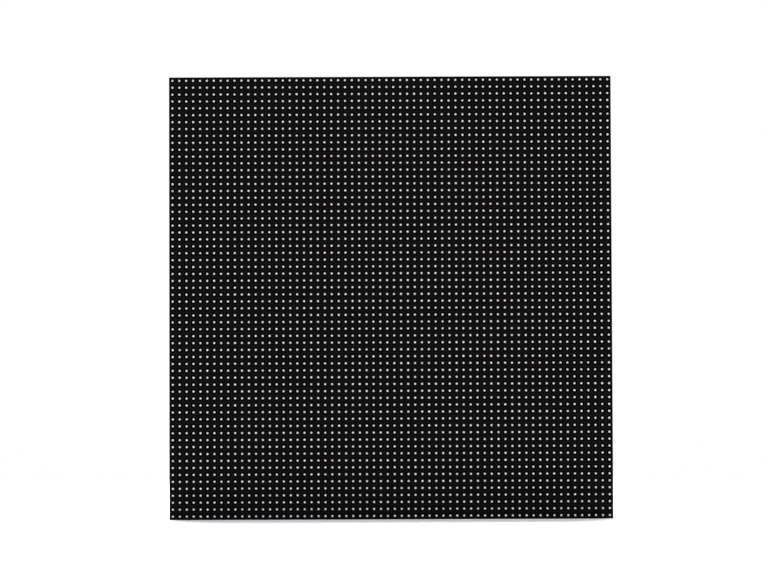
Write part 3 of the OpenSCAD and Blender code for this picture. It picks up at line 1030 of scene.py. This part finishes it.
@dataclass
class Chips:
    """One kind of chip: a moulded body with a pin-one dimple, gull-wing leads, and its copper and marks.

    The bends of a lead, and the start of its pad, are given as shares of its reach from the body.
    """

    face: BoardFace
    package: ChipPackage
    height: float = 1.6 * MM
    lift: float = 0.1 * MM
    draft: float = 0.14 * MM
    edge: float = 0.05 * MM
    dimple: float = 0.8 * MM
    dimple_depth: float = 0.08 * MM
    dimple_inset: float = 0.95 * MM
    dimple_corners: int = 12
    lead_thickness: float = 0.15 * MM
    lead_reach: float = 1.05 * MM
    lead_bends: tuple[float, ...] = (-0.2, 0.2, 0.36, 0.48, 0.6, 1.0)
    lead_smooth_deg: float = 50.0
    pad_start: float = 0.5
    pad_past: float = 0.3 * MM
    pad_margin: float = 0.1 * MM
    pad_height: float = 0.04 * MM
    track: float = 0.2 * MM
    track_height: float = 0.05 * MM
    track_lengths: tuple[float, ...] = (0.5 * MM, 1.0 * MM, 1.5 * MM)
    via: float = 0.5 * MM
    via_height: float = 0.06 * MM
    line: float = 0.16 * MM
    line_gap: float = 0.35 * MM
    dot: float = 0.64 * MM
    dot_gap: float = 0.64 * MM
    disc_corners: int = 8

    def body(self) -> Surface:
        """Make one body: it tapers from its parting line both ways, and its top holds a round dimple.

        Returns:
            The closed body.
        """
        length, width = self.package.length, self.package.width
        levels = [
            (self.lift, self.draft), ((self.height + self.lift) / 2, 0.0),
            (self.height - self.edge, self.draft), (self.height, self.draft + self.edge),
        ]
        rings = np.stack([box_ring(length - 2 * inset, width - 2 * inset, w) for w, inset in levels])
        middle = np.array([self.dimple_inset - length / 2, self.dimple_inset - width / 2, 0.0])
        heights = (self.height - self.dimple_depth, self.height)
        walls = np.stack([circle_ring(self.dimple / 2, w, self.dimple_corners) for w in heights]) + middle
        bank = PointBank()
        shell, hole = bank.add(rings), bank.add(walls)
        top = [plate_round_hole(shell[-1], hole[1]), hole_walls(hole), hole[0][None]]
        return Surface(bank.points(), [*loft(rings, Ends.FOOT).faces, *top])

    def lead(self) -> Surface:
        """Make one lead: out of the body at half height, down, and out along the board.

        Returns:
            The lead at the middle of the upper side.
        """
        start = (self.height + self.lift) / 2
        foot = self.pad_height + self.lead_thickness / 2
        heights = [start, start, start - self.lead_thickness, foot + self.lead_thickness, foot, foot]
        away = self.package.width / 2 + np.array(self.lead_bends) * self.lead_reach
        return strap(np.column_stack([away, heights]), self.package.lead_width, self.lead_thickness)

    def bar(self, start: float, end: float, width: float, height: float) -> Surface:
        """Return a low flat bar on the board, from one distance off the body to another."""
        away = self.package.width / 2 + np.array([start, end])
        return strap(np.column_stack([away, np.full(2, height / 2)]), width, height)

    def both_sides(self, item: Surface, ways: Array | None = None) -> Surface:
        """Repeat an item at the leads of both long sides.

        Args:
            item: Surface drawn at the middle of the upper side.
            ways: Numbers of the leads that take it. None means all.

        Returns:
            The repeated item.
        """
        line = even_line(self.package.ways, self.package.lead_pitch)
        line = line if ways is None else line[ways]
        side = item.tiled(grid_places(line, (0.0,)))
        return joined([side, side.turned(2)])

    def tracks(self) -> tuple[Surface, Surface]:
        """Make the tracks that leave the pads, in a few lengths by turns, and the vias at their ends.

        Returns:
            All the tracks, and all the vias.
        """
        tracks, vias = [], []
        start = self.lead_reach + self.pad_past
        via = disc(self.via, self.via_height, self.disc_corners)
        for turn, length in enumerate(self.track_lengths):
            ways = np.arange(turn, self.package.ways, len(self.track_lengths))
            end = grid_places((0.0,), (self.package.width / 2 + start + length,))
            track = self.bar(start, start + length, self.track, self.track_height)
            tracks.append(self.both_sides(track, ways))
            vias.append(self.both_sides(via.tiled(end), ways))
        return joined(tracks), joined(vias)

    def legend(self) -> Surface:
        """Make the printed marks: a bar past each end of the body, and a dot at pin one.

        Returns:
            The marks of one chip.
        """
        past = self.package.length / 2 + self.line_gap
        bar = slab(self.line, self.package.width, self.track_height)
        dot = disc(self.dot, self.track_height, self.disc_corners)
        pin_one = grid_places((-past - self.dot_gap,), (-self.package.width / 2,))
        return joined([bar.tiled(grid_places((-past, past), (0.0,))), dot.tiled(pin_one)])

    def build(self) -> None:
        """Make the bodies, leads, pads, tracks and marks of every chip of this kind."""
        names = self.package.names()
        places = back_places(names)
        pad = self.bar(self.pad_start * self.lead_reach, self.lead_reach + self.pad_past,
                       self.package.lead_width + self.pad_margin, self.pad_height)
        tracks, vias = self.tracks()
        tinned = joined([self.both_sides(pad), vias])
        leads = self.both_sides(self.lead())
        layers = [
            ("bodies", self.body(), Finishes.CHIP, "chip_epoxy", names, None),
            ("leads", leads, Finishes.TIN, "contact_tin", [], self.lead_smooth_deg),
            ("pads", tinned, Finishes.TIN, "contact_tin", [], None),
            ("tracks", tracks, Finishes.TRACK, "board_laminate", [], None),
            ("legend", self.legend(), Finishes.INK, "housing_nylon", [], None),
        ]
        for layer, surface, finish, slot, replaced, smooth_deg in layers:
            name = f"{self.package.stem}_{layer}"
            drawn = surface.turned() if self.package.turned else surface
            self.face.add(name, drawn.tiled(places), finish, slot, replaced, smooth_deg)


@dataclass
class ElectrolyticCans:
    """The electrolytic capacitors: a drawn can with a rolled groove, on a black base.

    Points of the rolled groove and of the top's round edge are pairs of how far they lie in from the wall,
    and how far above the base or below the top, both in depths of the groove. The dish in the top reaches
    from one share of the radius to another.
    """

    face: BoardFace
    diameter: float = 6.3 * MM
    height: float = 7.7 * MM
    groove: float = 0.3 * MM
    rolled: tuple[tuple[float, float], ...] = ((0.0, 1.8), (0.7, 2.4), (1.0, 3.0), (0.7, 3.6), (0.0, 4.2))
    rounded: tuple[tuple[float, float], ...] = ((0.0, 1.3), (0.25, 0.5), (1.0, 0.0))
    dish: float = 0.05 * MM
    dish_reach: tuple[float, float] = (0.5, 0.04)
    ink_below: float = 0.21 * MM
    base_width: float = 6.6 * MM
    base_height: float = 1.1 * MM
    base_corner: float = 0.6 * MM
    base_edge: float = 0.1 * MM
    line: float = 0.16 * MM
    line_gap: float = 0.4 * MM
    line_height: float = 0.05 * MM
    corners: int = 32
    smooth_deg: float = 35.0

    def can(self) -> Surface:
        """Make one can, turned from its outline. UVs are places across its top as shares of its radius.

        Returns:
            The closed can, with a UV of zero below its top.
        """
        radius, groove = self.diameter / 2, self.groove
        wall = [(radius - inwards * groove, self.base_height + up * groove) for inwards, up in self.rolled]
        edge = [(radius - inwards * groove, self.height - down * groove) for inwards, down in self.rounded]
        dish = [(share * radius, self.height - self.dish) for share in self.dish_reach]
        can = lathe([(radius, self.base_height / 2), *wall, *edge, *dish], self.corners)
        on_top = can.points[:, 2:] > self.height - self.ink_below
        return replace(can, uv=np.where(on_top, can.points[:, :2] / radius, 0.0))

    def base(self) -> Surface:
        """Return one base: a low block with cut corners and a broken top edge."""
        return chamfered(self.base_width, self.base_width, self.base_height, self.base_edge, self.base_corner)

    def legend(self) -> Surface:
        """Make the printed outline round one base.

        Returns:
            The raised line.
        """
        sizes = [self.base_width + 2 * self.line_gap + grow for grow in (2 * self.line, 0.0)]
        outer, inner = (cut_corner_ring(size, size, self.base_corner, 0.0) for size in sizes)
        return outline(outer, inner, self.line_height)

    def build(self) -> None:
        """Make the cans, their bases and their printed outlines."""
        places = back_places(CAN_NAMES)
        cans, bases, legends = (part.tiled(places) for part in (self.can(), self.base(), self.legend()))
        self.face.add("can_shells", cans, Finishes.CAN, "can_aluminium", CAN_NAMES, self.smooth_deg)
        self.face.add("can_bases", bases, Finishes.SHROUD, "shroud_plastic")
        self.face.add("can_legend", legends, Finishes.INK, "housing_nylon")


@dataclass
class SmallParts:
    """Chip capacitors above the chips that they serve, and resistor arrays beside the data headers."""

    face: BoardFace
    capacitor: tuple[float, float, float] = (1.6 * MM, 0.8 * MM, 0.8 * MM)
    capacitor_end: float = 0.35 * MM
    capacitor_rise: float = 5.5 * MM
    array: tuple[float, float, float] = (1.6 * MM, 3.2 * MM, 0.55 * MM)
    array_ways: int = 4
    array_terminal: tuple[float, float] = (0.35 * MM, 0.45 * MM)
    array_shift: float = 9.0 * MM
    array_step: float = 5.0 * MM
    arrays_in_column: int = 4
    edge: float = 0.06 * MM

    def broken(self, width: float, depth: float, height: float) -> Surface:
        """Return a small block on the board whose upright and top edges are broken."""
        return chamfered(width, depth, height, self.edge, self.edge)

    def capacitors(self) -> tuple[Surface, Surface]:
        """Make one capacitor at the middle of the work plane.

        Returns:
            Its body, slimmer than its ends, and its two end caps.
        """
        length, width, height = self.capacitor
        slim = self.edge
        body = self.broken(length - 2 * self.capacitor_end, width - 2 * slim, height - slim)
        shift = (length - self.capacitor_end) / 2
        ends = self.broken(self.capacitor_end, width, height).tiled(grid_places((-shift, shift), (0.0,)))
        return body, ends

    def arrays(self) -> tuple[Surface, Surface]:
        """Make one resistor array at the middle of the work plane.

        Returns:
            Its body, and the terminals along both long sides.
        """
        width, length, height = self.array
        depth, along = self.array_terminal
        body = self.broken(width - depth, length, height)
        terminal = self.broken(depth, along, height - self.edge)
        shift = (width - depth) / 2
        ways = even_line(self.array_ways, length / self.array_ways)
        return body, terminal.tiled(grid_places((-shift, shift), ways))

    def build(self) -> None:
        """Make the capacitors and the arrays, bodies and metal apart."""
        served = Package.DRIVER.value.names() + Package.BUFFER.value.names()
        above = back_places(served) + np.array([0.0, self.capacitor_rise, 0.0])
        rise = even_line(self.arrays_in_column, self.array_step)
        columns = grid_places((-self.array_shift, self.array_shift), rise)
        beside = (back_places(DATA_HEADERS)[:, None] + columns[None]).reshape(-1, 3)
        ceramic, ends = (surface.tiled(above) for surface in self.capacitors())
        glazed, terminals = (surface.tiled(beside) for surface in self.arrays())
        metal = joined([ends, terminals])
        self.face.add("capacitor_bodies", ceramic, Finishes.CERAMIC, "capacitor_ceramic", ["chip_capacitors"])
        self.face.add("array_bodies", glazed, Finishes.RESISTOR, "resistor_ceramic", ["resistor_arrays"])
        self.face.add("small_part_terminals", metal, Finishes.TIN, "contact_tin")


@dataclass
class ThreadedInserts:
    """Brass inserts in the frame: a turned sleeve with a groove round its waist and a cut thread."""

    face: BoardFace
    bore: float = 2.5 * MM
    outside: float = 4.6 * MM
    length: float = 5.0 * MM
    land: float = 1.9 * MM
    groove: float = 0.4 * MM
    edge: float = 0.1 * MM
    mouth: float = 0.25 * MM
    thread_pitch: float = 0.5 * MM
    thread_depth: float = 0.25 * MM
    steps_in_turn: int = 6
    corners: int = 24
    smooth_deg: float = 40.0

    def sleeve(self) -> Surface:
        """Make one sleeve, from its outside over its end face and down its threaded bore.

        The radius of the bore is its core plus the depth of the thread times a saw of flat flanks, whose
        phase is the height in pitches less the angle in turns.

        Returns:
            The closed sleeve.
        """
        r, core, root = self.outside / 2, self.bore / 2, self.bore / 2 + self.thread_depth
        waist, slope = r - self.groove, self.groove / 2
        profile = [
            (root, 0.0), (r, 0.0), (r, self.land), (waist, self.land + slope),
            (waist, self.length - self.land - slope), (r, self.length - self.land),
            (r, self.length - self.edge), (r - self.edge, self.length), (root, self.length),
        ]
        outside = np.stack([circle_ring(radius, height, self.corners) for radius, height in profile])
        steps = round((self.length - 2 * self.mouth) / self.thread_pitch * self.steps_in_turn)
        height = np.linspace(self.length - self.mouth, self.mouth, steps + 1)[:, None]
        angle = np.arange(self.corners)[None] * 2 * np.pi / self.corners
        phase = np.mod(height / self.thread_pitch - angle / (2 * np.pi), 1.0)
        radius = core + self.thread_depth * np.abs(2 * phase - 1)
        rise = np.broadcast_to(height, radius.shape)
        thread = np.stack([radius * np.cos(angle), radius * np.sin(angle), rise], axis=-1)
        return loft(np.concatenate([outside, thread]), Ends.LOOPED)

    def build(self, box: Array) -> None:
        """Make all the inserts, in two columns and three rows, with their ends on the mounting plane.

        Args:
            box: Lowest and highest corner of the inserts' solids, which the columns and rows fill.
        """
        line, rise = box[1, 0] - self.outside / 2, box[1, 2] - self.outside / 2
        foot = -self.face.y - self.length
        inserts = self.sleeve().tiled(grid_places((-line, line), (-rise, 0.0, rise), foot))
        self.face.add("insert_sleeves", inserts, Finishes.BRASS, "insert_brass", ["threaded_inserts"],
                      self.smooth_deg)


@dataclass
class BoardArtwork:
    """What the board itself shows between its parts: bundles of tracks, vias, and printed outlines.

    The tracks across the board end a margin inside the outer edge of the inserts.
    """

    face: BoardFace
    lattice: Lattice
    opening_line: float
    insert_edge: float
    margin: float = 8.0 * MM
    opening: float = 67.0 * MM
    part_room: float = 3.2 * MM
    header_room: float = 6.5 * MM
    track_room: float = 0.8 * MM
    track: float = 0.3 * MM
    track_step: float = 0.65 * MM
    height: float = 0.05 * MM
    bundle: int = 6
    bundle_shift: float = 9.5 * MM
    riser_shift: float = 29.0 * MM
    risers: int = 4
    via: float = 0.7 * MM
    via_height: float = 0.065 * MM
    via_corners: int = 8
    aiming_dot: float = 1.4 * MM
    aiming_dots: int = 3
    dot_corners: int = 16
    lamp_via: float = 0.6 * MM
    lamp_via_top: float = 0.48 * MM
    lamp_via_corners: int = 6
    line: float = 0.16 * MM
    line_gap: float = 0.6 * MM

    def reach(self) -> float:
        """Return how far the tracks across the board run from the middle."""
        return self.insert_edge - self.margin

    def riser_reach(self) -> float:
        """Return how far the upright tracks run from the middle, to just short of those that run across."""
        return self.opening_line - self.bundle_shift - self.bundle * self.track_step

    def bundle_middles(self, shift: float) -> Array:
        """Return the middles of four bundles, one to each side of the two outer openings' middles."""
        return np.add.outer((-self.opening_line, self.opening_line), (-shift, shift)).ravel()

    def bundle_lines(self, shift: float, count: int) -> Array:
        """Return the middles of all the tracks of four bundles, bundle by bundle."""
        return np.add.outer(self.bundle_middles(shift), even_line(count, self.track_step)).ravel()

    def riser_lines(self) -> Array:
        """Return the places along u of the upright tracks beside the data headers."""
        return self.bundle_lines(self.riser_shift, self.risers)

    def tracks(self) -> Surface:
        """Make the tracks across the board, above and below the outer cans, and those beside the headers.

        Returns:
            All the tracks.
        """
        across = slab(2 * self.reach(), self.track, self.height)
        upright = slab(self.track, 2 * self.riser_reach(), self.height)
        rows = grid_places((0.0,), self.bundle_lines(self.bundle_shift, self.bundle))
        return joined([across.tiled(rows), upright.tiled(grid_places(self.riser_lines(), (0.0,)))])

    def vias(self) -> Surface:
        """Make tinned vias at both ends of the upright tracks, and a few larger aiming dots at corners.

        Returns:
            All the vias and dots.
        """
        via = disc(self.via, self.via_height, self.via_corners)
        ends = via.tiled(grid_places(self.riser_lines(), (-self.riser_reach(), self.riser_reach())))
        dot = disc(self.aiming_dot, self.height, self.dot_corners)
        corner = self.opening_line + self.riser_shift
        corners = grid_places((-corner, corner), (-corner, corner))[:self.aiming_dots]
        return joined([ends, dot.tiled(corners)])

    def part_boxes(self) -> Array:
        """Return the rectangles that parts take on the board, each with room round it.

        Returns:
            Array of (rectangle, 2, 2): its middle, and half its sides, on the work plane.
        """
        parts = [name for package in Package for name in package.value.names()] + CAN_NAMES
        names = parts + ALL_HEADERS
        solids = np.array([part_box(name) for name in names])
        room = np.repeat([self.part_room, self.header_room], [len(parts), len(ALL_HEADERS)])
        halves = (solids[:, 1] - solids[:, 0])[:, (0, 2)] / 2 + room[:, None]
        return np.stack([back_places(names)[:, :2], halves], axis=1)

    def track_boxes(self) -> Array:
        """Return the rectangles that the bundles of tracks take, each with room round it.

        Returns:
            Array of (rectangle, 2, 2): its middle, and half its sides, on the work plane.
        """
        rows, columns = self.bundle_middles(self.bundle_shift), self.bundle_middles(self.riser_shift)
        middles = np.concatenate([grid_places((0.0,), rows), grid_places(columns, (0.0,))])
        across = (self.reach(), self.bundle * self.track_step / 2)
        upright = (self.risers * self.track_step / 2, self.riser_reach())
        halves = np.repeat([across, upright], [rows.size, columns.size], axis=0) + self.track_room
        return np.stack([middles[:, :2], halves], axis=1)

    def lamp_vias(self) -> Surface:
        """Make a low lacquered via behind each lamp that an opening of the frame shows, clear of the rest.

        A lamp's place is kept if it lies within half an opening of the middle of one, along both sides, and
        outside every rectangle that a part or a bundle of tracks takes.

        Returns:
            All these vias.
        """
        line = self.lattice.line()
        middles = np.array([-self.opening_line, 0.0, self.opening_line])
        line = line[np.abs(line[:, None] - middles).min(axis=1) < self.opening / 2]
        places = grid_places(line, line)
        taken = np.concatenate([self.part_boxes(), self.track_boxes()])
        outside = np.abs(places[:, None, :2] - taken[:, 0]) > taken[:, 1]
        bump = lathe([(self.lamp_via / 2, 0.0), (self.lamp_via_top / 2, self.height)], self.lamp_via_corners)
        return bump.tiled(places[outside.any(axis=2).all(axis=1)])

    def outlines(self) -> Surface:
        """Make the printed rectangles round the two data headers and the power header.

        Returns:
            The raised lines.
        """
        parts = []
        for name in ALL_HEADERS:
            low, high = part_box(name)
            width, depth = (high.x - low.x + 2 * self.line_gap, high.z - low.z + 2 * self.line_gap)
            outer = box_ring(width + 2 * self.line, depth + 2 * self.line, 0.0)
            line = outline(outer, box_ring(width, depth, 0.0), self.height)
            parts.append(line.tiled(back_places([name])))
        return joined(parts)

    def build(self) -> None:
        """Make the tracks, vias and outlines."""
        self.face.add("board_tracks", self.tracks(), Finishes.TRACK, "board_laminate")
        self.face.add("lamp_vias", self.lamp_vias(), Finishes.TRACK, "board_laminate")
        self.face.add("board_vias", self.vias(), Finishes.TIN, "contact_tin")
        self.face.add("header_outlines", self.outlines(), Finishes.INK, "housing_nylon")


class KeptSolids:
    """Finishes of the solids that keep their own shape."""

    FINISH = {
        "circuit_board": Finishes.BOARD,
        "rear_frame": Finishes.FRAME,
        "mask_pillars": Finishes.BRASS,
        "mask_screws": Finishes.SCREW,
        "data_in_shroud": Finishes.SHROUD,
        "data_in_contacts": Finishes.GOLD,
        "data_out_shroud": Finishes.SHROUD,
        "data_out_contacts": Finishes.GOLD,
        "power_housing": Finishes.NYLON,
        "power_contacts": Finishes.TIN,
    }

    @classmethod
    def dress(cls, nodes: dict[str, bpy.types.Object]) -> None:
        """Give each kept solid its finish.

        Args:
            nodes: Solids by name.
        """
        for name, finish in cls.FINISH.items():
            slots = nodes[name].data.materials
            slots.clear()
            slots.append(finish.value.material())
            LOG.info("%s: %s", name, finish.value.name)


# Studio


@dataclass(frozen=True)
class Softbox:
    """A rectangular soft light: its middle, its power in watts, what it looks at and its sides in metres."""

    name: str
    place: tuple[float, float, float]
    watts: float
    aim: tuple[float, float, float] = (0.0, 0.0, 0.0)
    sides: tuple[float, float] = (0.9, 0.9)

    def build(self) -> None:
        """Hang the light."""
        data = bpy.data.lights.new(self.name, "AREA")
        data.shape = "RECTANGLE"
        data.size, data.size_y = self.sides
        data.energy = self.watts
        lamp = add_object(self.name, data)
        lamp.location = self.place
        lamp.rotation_euler = (Vector(self.aim) - Vector(self.place)).to_track_quat("-Z", "Y").to_euler()


@dataclass
class Studio:
    """White floor and surround, soft light, and the camera of the photograph.

    The nook is how far the painted dark line of contact shade under the module reaches from it, and the
    corner is where that line has faded. The shadow starts to turn to plain white at one distance from the
    middle, and has at another.
    The tint is above 1, so that the floor is white to the camera at this plain level of light.
    """

    floor_z: float
    face_y: float
    corner: float
    lattice_span: float
    image_width: int = 768
    image_height: int = 576
    lattice_centre_px: tuple[float, float] = (390.6, 297.4)
    lattice_span_px: float = 435.9
    roll_deg: float = 0.22
    elevation_deg: float = -1.5
    distance: float = 1.3
    sensor: float = 36.0
    floor_size: float = 6.0
    floor_tint: tuple[float, float, float] = (1.6, 1.58, 1.66)
    floor_glow: str = "#e9e7f2"
    floor_glow_strength: float = 0.1
    floor_dull: str = "#cbcbcb"
    nook: float = 0.007
    nook_power: float = 3.0
    nook_samples: int = 8
    corner_fade: float = 0.01
    shadow_from: float = 0.2
    shadow_to: float = 0.5
    surround_light: float = 0.35
    softboxes: tuple[Softbox, ...] = (
        Softbox("overhead", (-0.02, 0.14, 1.17), 15.8, aim=(-0.02, 0.14, 0.0), sides=(0.5, 0.145)),
        Softbox("front_left", (-1.2, -1.5, 0.1), 15.6),
        Softbox("front_right", (1.2, -1.5, 0.1), 15.6),
        Softbox("rear_left", (-1.2, 1.5, 0.5), 18.0),
        Softbox("rear_right", (1.2, 1.5, 0.5), 18.0),
    )

    def camera(self) -> None:
        """Place the camera so that the lamps have the span, place and roll of those in the photograph."""
        data = bpy.data.cameras.new("camera")
        data.sensor_width = self.sensor
        data.lens = self.lattice_span_px / self.lattice_span * self.distance * self.sensor / self.image_width
        data.shift_x = (self.image_width / 2 - self.lattice_centre_px[0]) / self.image_width
        data.shift_y = (self.lattice_centre_px[1] - self.image_height / 2) / self.image_width
        camera = add_object("camera", data)
        tilt = math.radians(self.elevation_deg)
        target = Vector((0.0, self.face_y, 0.0))
        camera.location = target + self.distance * Vector((0.0, -math.cos(tilt), math.sin(tilt)))
        look = (target - camera.location).to_track_quat("-Z", "Y").to_matrix().to_4x4()
        camera.rotation_euler = (look @ Matrix.Rotation(math.radians(-self.roll_deg), 4, "Z")).to_euler()
        bpy.context.scene.camera = camera

    @staticmethod
    def seen(tree: Tree) -> Socket:
        """Tell the rays that show a surface from those that only light others.

        Args:
            tree: Node tree of the floor's paint or of the world.

        Returns:
            A socket of 1 for rays of the camera, of reflections and through glass, and 0 for the rest.
        """
        path = add_node(tree, "ShaderNodeLightPath")
        either = add_node(tree, "ShaderNodeMath", {"operation": "MAXIMUM"},
                          {0: path.outputs["Is Camera Ray"], 1: path.outputs["Is Glossy Ray"]})
        all_three = add_node(tree, "ShaderNodeMath", {"operation": "MAXIMUM"},
                             {0: either.outputs["Value"], 1: path.outputs["Is Transmission Ray"]})
        return all_three.outputs["Value"]

    def contact_shade(self, tree: Tree, point: Socket) -> Socket:
        """Paint contact shade on the floor in the nook under the module, less and less towards its corners.

        Args:
            tree: Node tree of the floor's paint.
            point: Object coordinates of the floor.

        Returns:
            The share of light that is left: the open share of the nook to a power that fades to 0.
        """
        across = add_node(tree, "ShaderNodeSeparateXYZ", links={0: point})
        aside = add_node(tree, "ShaderNodeMath", {"operation": "ABSOLUTE"}, {0: across.outputs["X"]})
        power = add_node(tree, "ShaderNodeMapRange", {
            "From Min": self.corner - self.corner_fade, "From Max": self.corner,
            "To Min": self.nook_power, "To Max": 0.0,
        }, {"Value": aside.outputs["Value"]})
        settings = {"samples": self.nook_samples, "Distance": self.nook}
        # Painted contact shade: occlusion near the module darkens the floor's tint
        nook = add_node(tree, "ShaderNodeAmbientOcclusion", settings)
        left = add_node(tree, "ShaderNodeMath", {"operation": "POWER"},
                        {0: nook.outputs["AO"], 1: power.outputs["Result"]})
        return left.outputs["Value"]

    def floor_paint(self) -> bpy.types.Material:
        """Make the floor's white paint.

        Near the module it takes the shadow, with a painted dark line of contact shade where the module stands
        that fades before the corners, and it turns to plain white with the distance from the middle. Rays of
        light meet a duller paint, which throws less light back on the module.

        Returns:
            The material.
        """
        material = bpy.data.materials.new("white_floor_paint")
        tree = empty_tree(material)
        point = add_node(tree, "ShaderNodeTexCoord").outputs["Object"]
        level = {"operation": "MULTIPLY", 1: (1.0, 1.0, 0.0)}
        flat = add_node(tree, "ShaderNodeVectorMath", level, {0: point})
        reach = add_node(tree, "ShaderNodeVectorMath", {"operation": "LENGTH"}, {0: flat.outputs["Vector"]})
        away = add_node(tree, "ShaderNodeMapRange", {
            "interpolation_type": "SMOOTHSTEP", "From Min": self.shadow_from, "From Max": self.shadow_to,
        }, {"Value": reach.outputs["Value"]})
        tint = add_node(tree, "ShaderNodeVectorMath", {"operation": "SCALE", 0: self.floor_tint},
                        {"Scale": self.contact_shade(tree, point)})
        bright = add_node(tree, "ShaderNodeBsdfDiffuse", links={"Color": tint.outputs["Vector"]})
        glow = add_node(tree, "ShaderNodeEmission", {
            "Color": linear(self.floor_glow), "Strength": self.floor_glow_strength})
        near = add_node(tree, "ShaderNodeAddShader", links={0: bright.outputs[0], 1: glow.outputs[0]})
        far = add_node(tree, "ShaderNodeEmission", {"Color": linear(WHITE), "Strength": 1.0})
        shown = add_node(tree, "ShaderNodeMixShader", links={
            0: away.outputs["Result"], 1: near.outputs[0], 2: far.outputs[0]})
        dull = add_node(tree, "ShaderNodeBsdfDiffuse", {"Color": linear(self.floor_dull)})
        mix = add_node(tree, "ShaderNodeMixShader", links={
            0: self.seen(tree), 1: dull.outputs[0], 2: shown.outputs[0]})
        add_node(tree, "ShaderNodeOutputMaterial", links={"Surface": mix.outputs[0]})
        return material

    def floor(self) -> None:
        """Lay a wide white floor that keeps the module's shadow."""
        ring = box_ring(2 * self.floor_size, 2 * self.floor_size, self.floor_z)
        mesh = build_mesh("floor", Surface(ring, [np.arange(4)[None]]))
        mesh.materials.append(self.floor_paint())
        add_object("floor", mesh)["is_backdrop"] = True

    def world(self) -> None:
        """Light all round: white to the camera and in reflections, and softer on the object."""
        world = bpy.data.worlds.new("studio")
        tree = empty_tree(world)
        light, white = (
            add_node(tree, "ShaderNodeBackground", {"Color": linear(WHITE), "Strength": strength})
            for strength in (self.surround_light, 1.0))
        mix = add_node(tree, "ShaderNodeMixShader", links={
            0: self.seen(tree), 1: light.outputs[0], 2: white.outputs[0]})
        add_node(tree, "ShaderNodeOutputWorld", links={"Surface": mix.outputs[0]})
        bpy.context.scene.world = world

    def build(self) -> None:
        """Set up floor, world, lights and camera."""
        bpy.context.scene.view_settings.view_transform = "Standard"
        self.floor()
        self.world()
        for softbox in self.softboxes:
            softbox.build()
        self.camera()


def main() -> None:
    """Build the module around the frame, one sub-assembly after the other."""
    logging.basicConfig(level=logging.INFO, format="%(name)s %(message)s")
    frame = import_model()
    cad_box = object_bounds()
    nodes = frame["nodes"]
    board, mask, lenses = (extent(nodes[name]) for name in ("circuit_board", "front_mask", "led_lenses"))
    inserts, data_header = (extent(nodes[name]) for name in ("threaded_inserts", "data_out_shroud"))
    front, back = BoardFace(Side.FRONT, board[0, 1]), BoardFace(Side.BACK, board[1, 1])
    lattice = Lattice()

    KeptSolids.dress(nodes)
    LampField(front, lattice, height=front.y - lenses[0, 1]).build(board[1, 0] - board[0, 0])
    FrontMask(front, lattice, side=mask[1, 0] - mask[0, 0]).build()
    for package in Package:
        Chips(back, package.value).build()
    ElectrolyticCans(back).build()
    SmallParts(back).build()
    ThreadedInserts(back).build(inserts)
    BoardArtwork(back, lattice, data_header.mean(axis=0)[0], inserts[1, 0]).build()
    Studio(cad_box[0][2], lenses[0, 1], mask[1, 0], lattice.width()).build()


if __name__ == "__main__":
    main()
